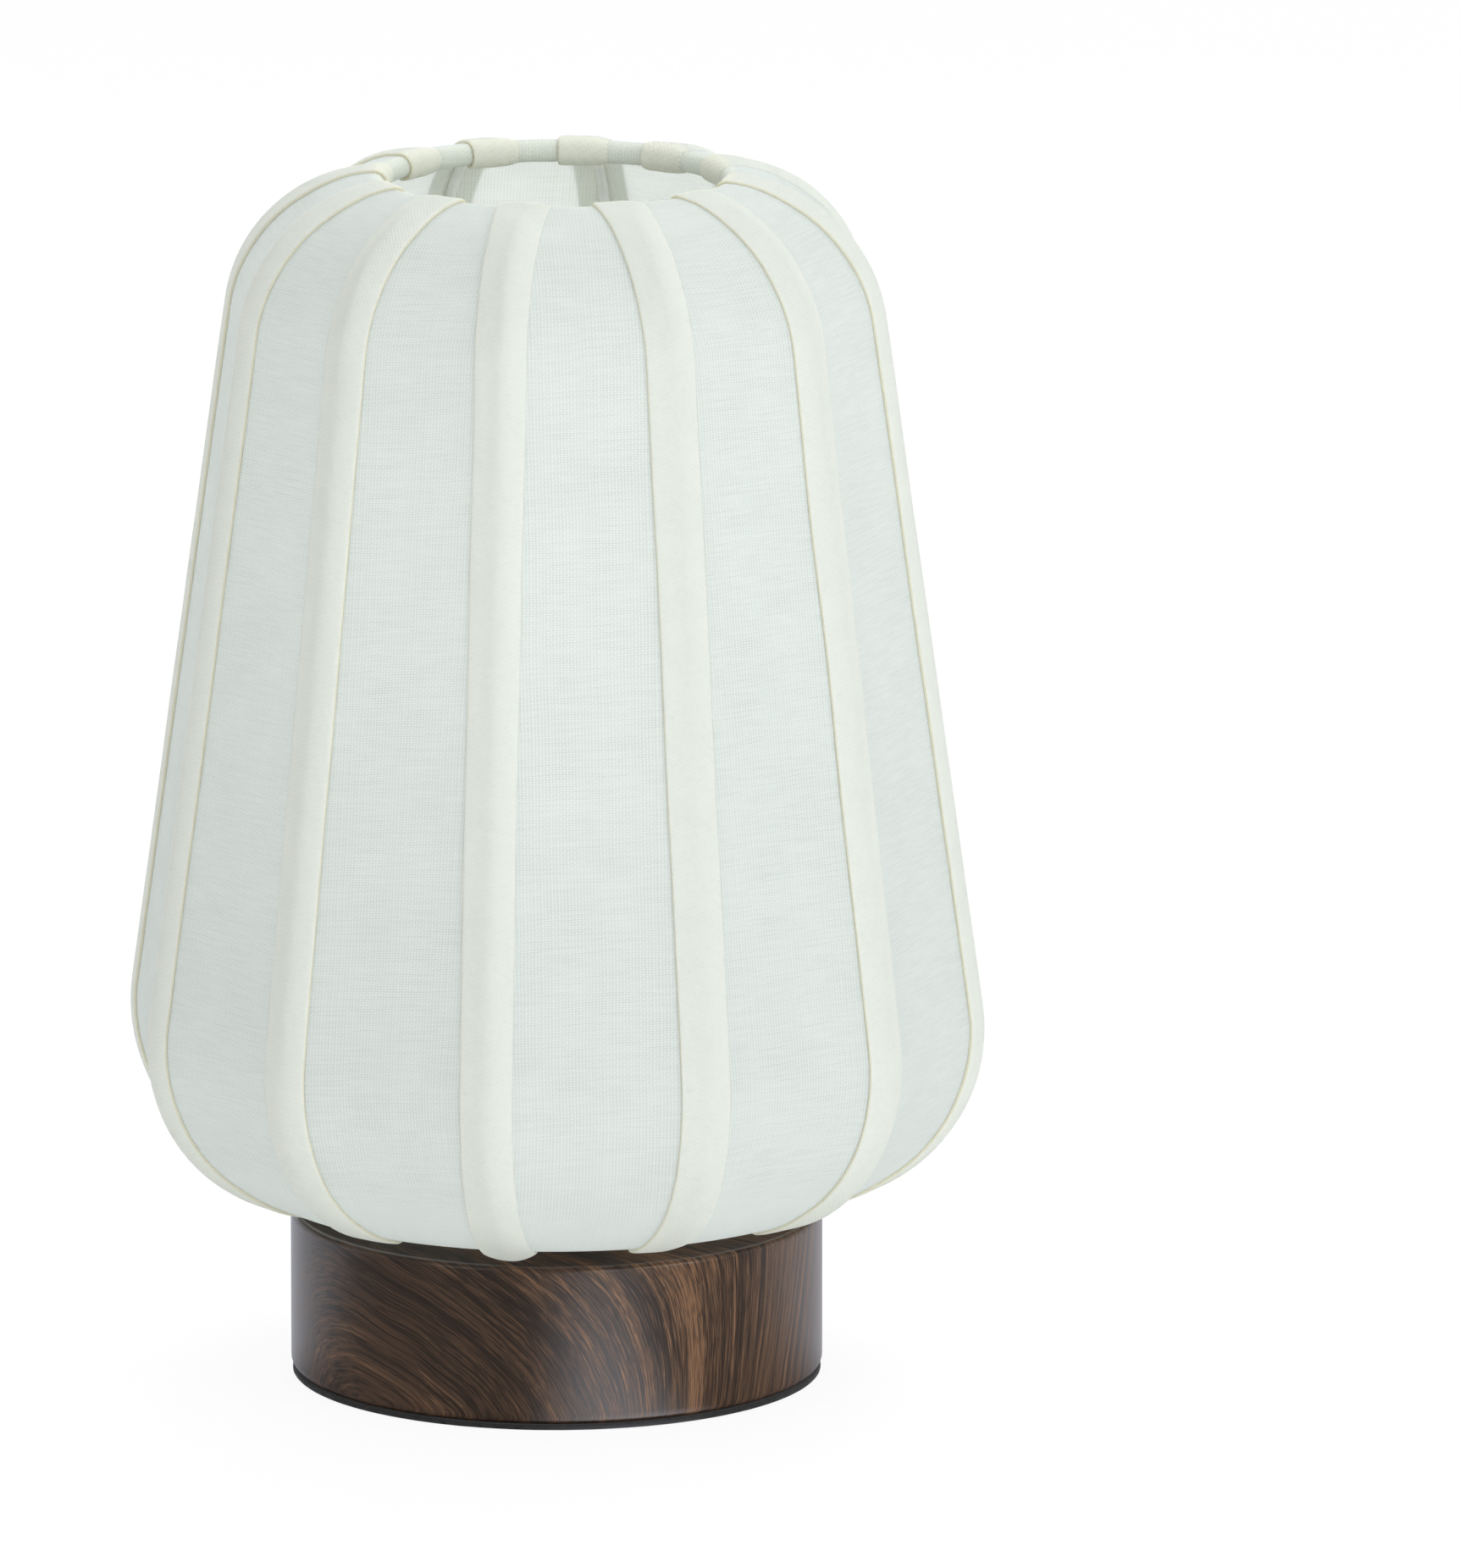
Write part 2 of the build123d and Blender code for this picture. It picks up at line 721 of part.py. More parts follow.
# One rib tape: two flat halves that meet on the rib, and a turn round each ring
with BuildPart() as tape_pattern:
    with BuildSketch(radial_plane(0)):
        with BuildLine():
            shade_band(-tape_gap - tape_thickness, -tape_gap, 0)
        make_face()
    extrude(amount=tape_width / 2, dir=facet_direction(half_step))
    mirror(about=Plane.XZ)
    for (ring_radius, ring_height), ring_depth, side in (
        (rings[0], upper_ring_depth, 1),
        (rings[1], lower_ring_depth, -1),
    ):
        turn_half_angle = degrees(asin(tape_width / 2 / ring_radius))
        inner_turn = ring_depth + tape_gap
        outer_turn = inner_turn + tape_thickness
        turn_start = side * tape_turn_start
        turn_size = side * (tape_turn_end - tape_turn_start)
        with BuildSketch(radial_plane(-turn_half_angle)):
            with BuildLine():
                outside = CenterArc((ring_radius, ring_height), outer_turn, turn_start, turn_size)
                inside = CenterArc((ring_radius, ring_height), inner_turn, turn_start, turn_size)
                Line(outside @ 0, inside @ 0)
                Line(outside @ 1, inside @ 1)
            make_face()
        revolve(axis=Axis.Z, revolution_arc=2 * turn_half_angle)

for index in range(rib_count):
    rib_angle = first_rib_angle + rib_step * index
    with BuildPart() as rib_tape:
        add(tape_pattern.part, rotation=(0, 0, rib_angle))
    rib_tape.part.label = f"rib_tape_{index + 1:02d}"
    export_step(rib_tape.part, f"parts/rib_tape_{index + 1:02d}.step")


print("crown height", round(crown_height, 2), "hem height", round(hem_height, 2))
print("rings", [(radius, round(height, 2)) for radius, height in rings])
print("belly centre", [round(value, 2) for value in belly_centre])
print("shoulder centre", [round(value, 2) for value in shoulder_centre])
print("bulb top", round(glass_dome + glass_radius, 2), "fitter", round(fitter_bottom, 2))
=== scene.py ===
# %% [markdown]
# # A table lamp with a taped cloth shade
# The lamp has three kinds of surface that have to look right: a thin open cloth that is stretched flat between
# twelve wires, a thicker twill tape that hides every joint of that cloth, and a lacquered drum of striped wood.
# The hard parts arrive finished from the CAD model, so this lesson makes the soft ones and all the finishes.
# The first cell loads the frame. Its parts stay where they are, and everything made later is fitted to them.

# %% load the frame
import json
import random
from math import atan2, ceil, cos, degrees, exp, hypot, pi, radians, sin, tan

import bmesh
import bpy
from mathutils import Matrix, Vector, noise


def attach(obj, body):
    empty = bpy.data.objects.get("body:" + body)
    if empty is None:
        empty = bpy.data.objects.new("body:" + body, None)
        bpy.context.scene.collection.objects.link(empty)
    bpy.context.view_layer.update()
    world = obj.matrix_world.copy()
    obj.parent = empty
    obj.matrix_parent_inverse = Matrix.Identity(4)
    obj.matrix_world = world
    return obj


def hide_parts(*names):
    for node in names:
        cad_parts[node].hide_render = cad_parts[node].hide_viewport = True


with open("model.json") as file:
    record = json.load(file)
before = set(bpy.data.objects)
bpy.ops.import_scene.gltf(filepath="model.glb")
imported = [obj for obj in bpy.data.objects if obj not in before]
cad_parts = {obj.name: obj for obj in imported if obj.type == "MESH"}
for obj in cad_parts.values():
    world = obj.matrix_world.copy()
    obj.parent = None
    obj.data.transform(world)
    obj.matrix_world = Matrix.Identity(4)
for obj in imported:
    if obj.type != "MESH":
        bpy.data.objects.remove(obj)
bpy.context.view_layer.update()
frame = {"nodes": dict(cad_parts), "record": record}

# %% [markdown]
# ## The line that the cloth follows
# Every piece of the shade follows one line in the plane of a rib: round the lower ring, up the belly, up the
# tapering wall, over the shoulder and round the upper ring. It could be drawn as a curve and sampled, but its
# parts are plain arcs, so it is walked here in stations. A station holds a radius, a height, the angle at which
# the cloth looks outwards, the length of cloth used so far, and how far it is to the nearest ring. All lengths
# in these cells are millimetres, and they turn into metres only when a point is placed.

# %% walk the shade's line
MM = 0.001
shoulder_centre, shoulder_radius = (50.12, 306.0), 45.4
belly_centre, belly_radius = (72.24, 104.59), 51.6
wall_tilt = 8.02
upper_ring, lower_ring = (51.5, 348.04), (79.5, 57.27)
fold_radius = 2.95
fold_step, arc_step = 11, 3
steps_to_wire, wall_rows = 6, 22


def polar(centre, radius, look):
    return centre[0] + radius * cos(radians(look)), centre[1] + radius * sin(radians(look)), look


def spread(start, end, step):
    """Even steps from start to end, both included."""
    count = max(1, ceil(abs(end - start) / step))
    return [start + (end - start) * i / count for i in range(count + 1)]


def go_round(ring, depth, first, last):
    """The cloth's way round a ring, which draws closer to the wire as it goes."""
    looks = spread(first, last, fold_step)
    return [polar(ring, depth + (fold_radius - depth) * min(1, i / steps_to_wire), look)
            for i, look in enumerate(looks)]


def walk_shade(turn_under):
    """Stations from under the lower ring to under the upper ring."""
    hem_look = degrees(atan2(lower_ring[1] - belly_centre[1], lower_ring[0] - belly_centre[0]))
    crown_look = degrees(atan2(upper_ring[1] - shoulder_centre[1], upper_ring[0] - shoulder_centre[0]))
    lower_depth = belly_radius - hypot(lower_ring[0] - belly_centre[0], lower_ring[1] - belly_centre[1])
    upper_depth = shoulder_radius - hypot(upper_ring[0] - shoulder_centre[0],
                                          upper_ring[1] - shoulder_centre[1])
    hem = go_round(lower_ring, lower_depth, hem_look, -turn_under)[::-1]
    belly = [polar(belly_centre, belly_radius, look) for look in spread(hem_look, wall_tilt, arc_step)]
    shoulder = [polar(shoulder_centre, shoulder_radius, look)
                for look in spread(wall_tilt, crown_look, arc_step)]
    foot, head = belly[-1], shoulder[0]
    wall = [tuple(foot[k] + (head[k] - foot[k]) * share for k in range(3))
            for share in spread(0, 1, 1 / wall_rows)]
    crown = go_round(upper_ring, upper_depth, crown_look, turn_under)
    points = hem + belly[1:] + wall[1:-1] + shoulder + crown[1:]
    first_free, last_free = len(hem) - 1, len(points) - len(crown)
    runs = [0.0]
    for here, there in zip(points, points[1:]):
        runs.append(runs[-1] + hypot(there[0] - here[0], there[1] - here[1]))
    walked = []
    for i, (radius, height, look) in enumerate(points):
        to_ring = max(0.0, min(runs[i] - runs[first_free], runs[last_free] - runs[i]))
        walked.append((radius, height, look, runs[i], to_ring))
    return walked


cloth_line = walk_shade(turn_under=255)
tape_line = walk_shade(turn_under=282)
print("stations", len(cloth_line), "cloth length", round(cloth_line[-1][3], 1), "mm")

# %% [markdown]
# ## Twelve flat panels between twelve ribs
# A stretched panel is flat from rib to rib, but each ring is round, so close to a ring the cloth goes over from
# flat to round. Where the wire bends, at the shoulder and the belly, the pull along the cloth also draws it in
# a little between the ribs. `on_shade` gives that surface: a share of the way from one rib to the next, a
# station, and a lift above the cloth. The tapes use the same function, so they always lie on the panels.

# %% the shade's surface
rib_step, half_step = 30.0, 15.0
front_rib = -9.0
round_reach = 24.0
shoulder_sag, wall_sag = 1.5, 0.35
full_bend = 30.0


def ease(value):
    value = min(1.0, max(0.0, value))
    return value * value * (3 - 2 * value)


def on_shade(rib, share, station, lift):
    """A point on the cloth, share of the way from a rib to the next, lift outside its outer face."""
    radius, height, look, run, to_ring = station
    between = abs(share)
    chord = cos(radians(half_step)) / cos(radians(half_step * (2 * between - 1)))
    flatness = ease(to_ring / round_reach)
    bent = ease(abs(look - wall_tilt) / full_bend)
    sag = (wall_sag + (shoulder_sag - wall_sag) * bent) * 4 * between * (1 - between) * flatness
    out = lift - sag
    reach = radius * (1 - (1 - chord) * flatness) + out * cos(radians(look))
    azimuth = radians(front_rib + rib_step * (rib - 1 + share))
    return Vector((reach * sin(azimuth), -reach * cos(azimuth), height + out * sin(radians(look)))) * MM


middle_station = cloth_line[len(cloth_line) // 2]
print("half way up, between two ribs:", [round(value, 4) for value in on_shade(1, 0.5, middle_station, 0)])

# %% [markdown]
# ## Cutting and stretching a panel
# Each panel starts as a flat grid, like the cloth on the cutting table, and its vertices are laid onto the
# shade. The grid's own rows and columns are kept as a UV map in millimetres of cloth, so that the weave runs
# with the threads and has its real size everywhere. A Solidify modifier gives the cloth its thickness inwards.
# The threads across a panel are seldom quite level: each panel has its own slope, in degrees, and is cut from
# another place of the same cloth.

# %% lay the panels
panel_columns = 14
panel_thickness = 0.5
weave_map = "threads"


def lay_grid(name, columns, rows, place, threads):
    """A grid whose vertices are laid by place(column, row), with threads(column, row) as its UV map."""
    mesh = bpy.data.meshes.new(name)
    sheet = bmesh.new()
    bmesh.ops.create_grid(sheet, x_segments=columns, y_segments=rows, size=0.5)
    uv = sheet.loops.layers.uv.new(weave_map)
    spots = {}
    for vertex in sheet.verts:
        spots[vertex] = round((vertex.co.x + 0.5) * columns), round((vertex.co.y + 0.5) * rows)
    for face in sheet.faces:
        face.smooth = True
        for loop in face.loops:
            loop[uv].uv = threads(*spots[loop.vert])
    for vertex in sheet.verts:
        vertex.co = place(*spots[vertex])
    sheet.to_mesh(mesh)
    sheet.free()
    piece = bpy.data.objects.new(name, mesh)
    bpy.context.scene.collection.objects.link(piece)
    return piece


def thicken(piece, thickness):
    solid = piece.modifiers.new("thickness", "SOLIDIFY")
    solid.thickness = thickness * MM
    solid.offset = -1
    return piece


weft_rise = {1: 2.6, 2: -0.8, 12: 5.5}
usual_rise = (-1, 4)
cut_apart = 500


def lay_panel(number):
    rows = len(cloth_line) - 1
    slant = tan(radians(weft_rise.get(number, random.Random(number).uniform(*usual_rise))))

    def place(column, row):
        return on_shade(number, column / panel_columns, cloth_line[row], 0)

    def threads(column, row):
        across = (2 * column / panel_columns - 1) * cloth_line[row][0] * sin(radians(half_step))
        return across, cloth_line[row][3] - across * slant + cut_apart * number

    return thicken(lay_grid(f"cloth_panel_{number:02d}", panel_columns, rows, place, threads), panel_thickness)


panels = [lay_panel(number) for number in range(1, 13)]
print("panels", len(panels), "with", len(panels[0].data.polygons), "faces each")

# %% [markdown]
# ## The tape over each rib
# The tape hides where two panels meet. It is sewn along one edge, turned over and glued down along the other,
# so one edge is a thick rolled fold and the other is thin and soft. Its section is given here as points across
# the rib: how far from the rib, and how high over the cloth. A swept curve would give both edges the same
# shape, so the section is laid on a grid as the panels were. Over the rib the tape bridges the ridge between
# the two panels instead of following it, which gives the low dome that catches the light.

# %% the tape's section
tape_section = [
    (-7.35, -0.1), (-7.52, 0.12), (-7.62, 0.35), (-7.6, 0.6), (-7.42, 0.82), (-7.05, 0.96), (-6.4, 1.02),
    (-5.4, 1.02), (-4.0, 1.0), (-2.8, 1.0), (-1.8, 1.0), (-0.9, 1.0), (0.0, 1.0), (0.9, 1.0), (1.8, 0.98),
    (2.8, 0.92), (4.0, 0.82), (5.2, 0.66), (6.2, 0.46), (7.0, 0.24), (7.6, 0.02),
]
tape_thickness = 0.3
ridge_bridge, bridge_reach = 0.26, 2.5
fold_first_ribs = (1, 2, 3, 4)
loose_ends = {1: 2.0, 2: 0.5, 3: 0.4, 12: 0.5, 4: 0.3}


def over_ridge(offset, flatness):
    """How much higher the tape lies beside the ridge between two panels than a tape that followed it."""
    near = abs(offset) / bridge_reach
    return ridge_bridge * near * exp(1 - near) * flatness


print("tape section", len(tape_section), "points, over the ridge by up to", ridge_bridge, "mm")

# %% [markdown]
# ## Laying the tapes
# The sewn fold lies on the left of the four ribs at the front and right, and on the right of all others, as
# the tapes were put on from two sides. Cloth cut and glued by hand is never quite straight, so each tape
# wanders by a tenth of a millimetre or two, from a seeded random start, and the ends hang a little loose.
# The painted line of shade along the fold belongs to one edge only, so past `soft_edge` the other edge's
# threads stand still.

# %% lay the tapes
soft_edge = 7.2
wander_most, wander_length = 0.45, 45
swell_most, swell_across, swell_along = 0.12, 6, 20
usual_loose, crown_loose = 0.15, 0.25
hem_reach, crown_reach = 7, 5
end_widening, half_width, loose_width = 0.03, 8, 9
between_rings = 200


def lay_tape(number):
    mirrored = number not in fold_first_ribs
    section = [(-offset, lift) for offset, lift in tape_section[::-1]] if mirrored else tape_section
    chance = random.Random(100 + number)
    start = Vector((chance.uniform(0, 50), chance.uniform(0, 50), chance.uniform(0, 50)))
    loose = loose_ends.get(number, usual_loose)

    def place(column, row):
        offset, lift = section[column]
        station = tape_line[row]
        radius, height, look, run, to_ring = station
        wander = noise.noise(start + Vector((0, 0, run / wander_length))) * wander_most
        swell = noise.noise(start + Vector((offset / swell_across, 9, run / swell_along))) * swell_most
        flatness = ease(to_ring / round_reach)
        at_end = ease(1 - to_ring / hem_reach) if look < 0 else crown_loose * ease(1 - to_ring / crown_reach)
        barrel = 1 + end_widening * at_end * (1 - (offset / half_width) ** 2)
        hang = loose * at_end * (1 - (offset / loose_width) ** 2)
        lift = lift * (1 + swell) + over_ridge(offset, flatness) + hang
        round_ring = max(radius, upper_ring[0] if height > between_rings else lower_ring[0])
        share = degrees((offset * barrel + wander) / round_ring) / rib_step
        return on_shade(number, share, station, lift)

    def threads(column, row):
        offset = section[column][0]
        return (max(offset, -soft_edge) if mirrored else min(offset, soft_edge)), tape_line[row][3]

    piece = lay_grid(f"tape_{number:02d}", len(section) - 1, len(tape_line) - 1, place, threads)
    return thicken(piece, tape_thickness)


tapes = [lay_tape(number) for number in range(1, 13)]
print("tapes", len(tapes), "with", len(tapes[0].data.polygons), "faces each")

# %% [markdown]
# ## The felt under the drum
# A disc of black felt keeps the drum off the table and shows as a thin dark line. It is spun from half its
# section, with soft corners, and its edge is then made a little uneven, because felt is cut with a knife.

# %% spin the felt disc
felt_radius, felt_height, felt_corner = 76.4, 1.5, 0.3
loops_out = (0, 0.3, 0.6, 0.9, 0.995, 1)
felt_steps = 160
rim_from, rim_uneven, rim_grain = 0.07, 0.0012, 400


def spin_felt():
    mesh = bpy.data.meshes.new("felt_disc")
    disc = bmesh.new()
    flat_radius = felt_radius - felt_corner
    half = [(flat_radius * share, 0) for share in loops_out] + [(felt_radius, felt_corner)]
    section = half + [(radius, felt_height - height) for radius, height in reversed(half)]
    line = [disc.verts.new((radius * MM, 0, height * MM)) for radius, height in section]
    edges = [disc.edges.new(pair) for pair in zip(line, line[1:])]
    bmesh.ops.spin(disc, geom=line + edges, cent=(0, 0, 0), axis=(0, 0, 1), angle=2 * pi,
                   steps=felt_steps, use_merge=True)
    bmesh.ops.remove_doubles(disc, verts=disc.verts, dist=0.00001)
    for vertex in disc.verts:
        out = hypot(vertex.co.x, vertex.co.y)
        if out > rim_from:
            push = 1 + rim_uneven * noise.noise(vertex.co * rim_grain)
            vertex.co.x *= push
            vertex.co.y *= push
    bmesh.ops.recalc_face_normals(disc, faces=disc.faces)
    for face in disc.faces:
        face.smooth = True
    disc.to_mesh(mesh)
    disc.free()
    piece = bpy.data.objects.new("felt_disc", mesh)
    bpy.context.scene.collection.objects.link(piece)
    return piece


felt_disc = spin_felt()
print("felt faces", len(felt_disc.data.polygons))

# %% [markdown]
# ## Small tools for materials
# A material is a tree of nodes, and most of its nodes do sums. These helpers add a node, fill its sockets with
# numbers or links, and return what it puts out, so that each finish below reads as a recipe.

# %% node helpers
def feed(tree, socket, value):
    if isinstance(value, bpy.types.NodeSocket):
        tree.links.new(value, socket)
    elif value is not None:
        socket.default_value = value


def put(tree, kind, sockets=None, **settings):
    """A new node with its settings made and its sockets fed, by name or number."""
    node = tree.nodes.new("ShaderNode" + kind)
    for setting, value in settings.items():
        setattr(node, setting, value)
    for socket, value in (sockets or {}).items():
        feed(tree, node.inputs[socket], value)
    return node


def work(tree, operation, *values):
    return put(tree, "Math", dict(enumerate(values)), operation=operation).outputs[0]


def span(tree, value, low, high, new_low=0.0, new_high=1.0):
    """The value's place between low and high, as a number from new_low to new_high."""
    node = put(tree, "MapRange", {0: value, 1: low, 2: high, 3: new_low, 4: new_high},
               interpolation_type="SMOOTHSTEP")
    return node.outputs[0]


def blend(tree, share, first, second, mode="MIX"):
    node = put(tree, "Mix", data_type="RGBA", blend_type=mode)
    feed(tree, node.inputs[0], share)
    feed(tree, node.inputs[6], first)
    feed(tree, node.inputs[7], second)
    return node.outputs[2]


def grain(tree, where, size, detail=2.0, roughness=0.5):
    """Cloudy noise whose grains are about that size."""
    sockets = {"Vector": where, "Scale": 1 / size, "Detail": detail, "Roughness": roughness}
    return put(tree, "TexNoise", sockets).outputs[0]


def number_of(tree, whole):
    """The same chance number everywhere on one thread, from the thread's whole number."""
    return put(tree, "TexWhiteNoise", {"W": whole}, noise_dimensions="1D").outputs[0]


def pick(tree, share, first, second):
    return put(tree, "Mix", {0: share, 2: first, 3: second}, data_type="FLOAT").outputs[0]


def from_axis(tree, where):
    """How far a place is from the lamp's upright axis."""
    flat = put(tree, "VectorMath", {0: where, 1: (1, 1, 0)}, operation="MULTIPLY").outputs[0]
    return put(tree, "VectorMath", {0: flat}, operation="LENGTH").outputs[1]


def start_group(name, inputs, outputs):
    """A node group with those named sockets, and its own input and output nodes."""
    tree = bpy.data.node_groups.new(name, "ShaderNodeTree")
    for socket, kind in inputs:
        tree.interface.new_socket(socket, in_out="INPUT", socket_type="NodeSocket" + kind)
    for socket, kind in outputs:
        tree.interface.new_socket(socket, in_out="OUTPUT", socket_type="NodeSocket" + kind)
    return tree, tree.nodes.new("NodeGroupInput"), tree.nodes.new("NodeGroupOutput")


def place_group(tree, group, sockets):
    node = put(tree, "Group", node_tree=group)
    for socket, value in sockets.items():
        feed(tree, node.inputs[socket], value)
    return node.outputs


def start_material(name, **plain):
    """A material with a Principled shader whose plain sockets are set."""
    material = bpy.data.materials.new(name)
    material.use_nodes = True
    tree = material.node_tree
    shader = tree.nodes["Principled BSDF"]
    for socket, value in plain.items():
        shader.inputs[socket.replace("_", " ")].default_value = value
    return material, tree, shader


def mix_shaders(tree, share, first, second):
    mix = put(tree, "MixShader", {0: share})
    tree.links.new(first.outputs[0], mix.inputs[1])
    tree.links.new(second.outputs[0], mix.inputs[2])
    return mix


def raise_surface(tree, shader, height, distance, strength):
    bump = put(tree, "Bump", {"Height": height, "Distance": distance * MM, "Strength": strength})
    tree.links.new(bump.outputs[0], shader.inputs["Normal"])


print("node helpers ready")

# %% [markdown]
# ## The plain weave
# The shade cloth is an open plain weave: about one thread a millimetre each way, each thread going over and
# under the next, with a small gap at every crossing. The gaps are what shows from across a room, as rows of
# dots that are stronger in one row than in the next. The group below turns cloth coordinates, in millimetres,
# into a height, a mask and a tone. The mask holds the gaps and also painted shade in the grooves between the
# threads. The tone holds a tone for each thread and painted light and shade over the crossings. Real threads
# sway, stand a little unevenly and are thick and thin along their length (slubs), so each of these has its own
# noise. It is a group, so that another lamp's cloth could use it with its own numbers.

# %% weave group
sway_size, sway_across, sway_along = 38, 1.2, 4.0
stagger_size, stagger_across, stagger_along = 9, 0.35, 0.3
slub_stretch, slub_detail, slub_roughness = (0.07, 1.5, 1), 3, 0.6
patch_size = 22
widest_gap, gap_spread, gap_softness = 0.46, 0.34, 0.25
thread_depth, painted_crossing_light, even_tone = 0.5, 0.2, 0.1
weave, weave_in, weave_out = start_group(
    "plain weave",
    [("Threads", "Vector"), ("Pitch across", "Float"), ("Pitch along", "Float"), ("Openness", "Float")],
    [("Height", "Float"), ("Gap and groove shade", "Float"), ("Tone", "Float")],
)


def build_weave(tree, source, result):
    where = source.outputs["Threads"]
    split = put(tree, "SeparateXYZ", {0: where}).outputs
    sway = work(tree, "SUBTRACT", grain(tree, where, sway_size, 1.5), 0.5)
    stagger = work(tree, "SUBTRACT", grain(tree, where, stagger_size, 2), 0.5)
    y = work(tree, "MULTIPLY_ADD", sway, sway_along, split[1])
    y = work(tree, "MULTIPLY_ADD", stagger, stagger_along, y)
    x = work(tree, "MULTIPLY_ADD", stagger, stagger_across, split[0])
    x = work(tree, "MULTIPLY_ADD", sway, sway_across, x)
    across = work(tree, "DIVIDE", x, source.outputs["Pitch across"])
    along = work(tree, "DIVIDE", y, source.outputs["Pitch along"])
    wave_x = work(tree, "SINE", work(tree, "MULTIPLY", across, pi))
    wave_y = work(tree, "SINE", work(tree, "MULTIPLY", along, pi))
    warp, weft = work(tree, "ABSOLUTE", wave_x), work(tree, "ABSOLUTE", wave_y)
    over = work(tree, "MULTIPLY", work(tree, "MULTIPLY", wave_x, wave_y), thread_depth)
    warp_height = work(tree, "MULTIPLY", warp, work(tree, "ADD", 0.55, over))
    weft_height = work(tree, "MULTIPLY", weft, work(tree, "SUBTRACT", 0.5, over))
    height = work(tree, "MAXIMUM", warp_height, weft_height)
    hollow = work(tree, "MULTIPLY", work(tree, "SUBTRACT", 1.0, warp), work(tree, "SUBTRACT", 1.0, weft))
    streaks = put(tree, "Mapping", {"Vector": where, "Scale": slub_stretch}).outputs[0]
    slub = grain(tree, streaks, 1.0, slub_detail, slub_roughness)
    column_chance = number_of(tree, work(tree, "FLOOR", work(tree, "ADD", across, 0.5)))
    patch = span(tree, grain(tree, where, patch_size, 2), 0.3, 0.7)
    chance = work(tree, "MULTIPLY_ADD", column_chance, 0.2, span(tree, slub, 0.62, 0.38, 0, 0.55))
    chance = work(tree, "MULTIPLY_ADD", patch, 0.25, chance)
    opened = work(tree, "MULTIPLY", source.outputs["Openness"], work(tree, "MULTIPLY", chance, gap_spread))
    edge = work(tree, "SUBTRACT", widest_gap, opened)
    gap = span(tree, work(tree, "SUBTRACT", hollow, edge), 0.0, gap_softness)
    gap = work(tree, "MULTIPLY", gap, work(tree, "MULTIPLY_ADD", chance, 0.75, 0.25))
    # painted shade: the grooves between the threads are darker where the threads lie low, and join the gap mask
    painted_groove_shade = span(tree, height, 0.85, 0.25, 0, 0.5)
    painted_groove_shade = work(tree, "MULTIPLY", painted_groove_shade, work(tree, "MULTIPLY_ADD", chance, 0.5, 0.5))
    gap = work(tree, "MAXIMUM", gap, painted_groove_shade)
    weft_tone = number_of(tree, work(tree, "FLOOR", along))
    warp_tone = number_of(tree, work(tree, "FLOOR", across))
    thread_tone = pick(tree, work(tree, "GREATER_THAN", over, 0.0), weft_tone, warp_tone)
    tone = work(tree, "MULTIPLY_ADD", thread_tone, 0.3, work(tree, "MULTIPLY", slub, 0.5))
    # painted light and shade over the crossings: one side of each crossing lighter, the other darker
    crown = work(tree, "COSINE", work(tree, "MULTIPLY", work(tree, "SUBTRACT", across, along), pi))
    tone = work(tree, "ADD", tone, work(tree, "MULTIPLY_ADD", crown, painted_crossing_light, even_tone))
    tree.links.new(height, result.inputs["Height"])
    tree.links.new(gap, result.inputs["Gap and groove shade"])
    tree.links.new(tone, result.inputs["Tone"])


build_weave(weave, weave_in, weave_out)
print("weave nodes", len(weave.nodes))

# %% [markdown]
# ## Where the cloth goes round the upper ring
# Round the upper ring cloth and tape lie folded over the wire. They are creamier there, and less light goes
# through them. Both materials need that place, so a group finds it: whatever is near enough to the lamp's
# upright axis. The two shares say how much light goes through one layer and through the fold.

# %% ring group
folded_within, single_beyond = 0.0505, 0.0535
through_single, through_fold = 0.6, 0.47
ring_cream = (1.0, 0.985, 0.90, 1)
ring_zone, ring_zone_in, ring_zone_out = start_group(
    "round the upper ring", [("Where", "Vector")], [("Mask", "Float")]
)


def build_ring_zone(tree, source, result):
    reach = from_axis(tree, source.outputs["Where"])
    tree.links.new(span(tree, reach, single_beyond, folded_within), result.inputs["Mask"])


build_ring_zone(ring_zone, ring_zone_in, ring_zone_out)


def cream(tree, at_ring, colour):
    return blend(tree, at_ring, colour, blend(tree, 1.0, colour, ring_cream, "MULTIPLY"))


def let_light_through(tree, shader, at_ring, glow_colour):
    """Sends a share of the light out on the cloth's other side, in that colour."""
    glow = put(tree, "BsdfTranslucent", {"Color": glow_colour})
    mix = mix_shaders(tree, span(tree, at_ring, 0, 1, through_single, through_fold), shader, glow)
    tree.links.new(mix.outputs[0], tree.nodes["Material Output"].inputs["Surface"])


print("folded round the ring within", 1000 * folded_within, "mm of the axis")

# %% [markdown]
# ## The shade cloth
# Cotton that has been bleached is a slightly cool white, and its gaps look a little darker. The cloth is thin,
# so a share of the light that hits it leaves on the other side: that is the Translucent shader, mixed with the
# Principled one. Along the hem and near the upper ring the cloth lies double, so fewer gaps show there.

# %% cloth material
pitch_across, pitch_along = 0.975, 0.69
crown_double, hem_double = (0.343, 0.347), (0.078, 0.062)
closed_when_double = 0.75
thread_white, thread_shade = (0.940, 0.985, 0.980, 1), (0.825, 0.892, 0.892, 1)
gap_shade = (0.560, 0.610, 0.595, 1)
glow_white, glow_gap = (0.950, 0.960, 0.940, 1), (0.80, 0.785, 0.755, 1)


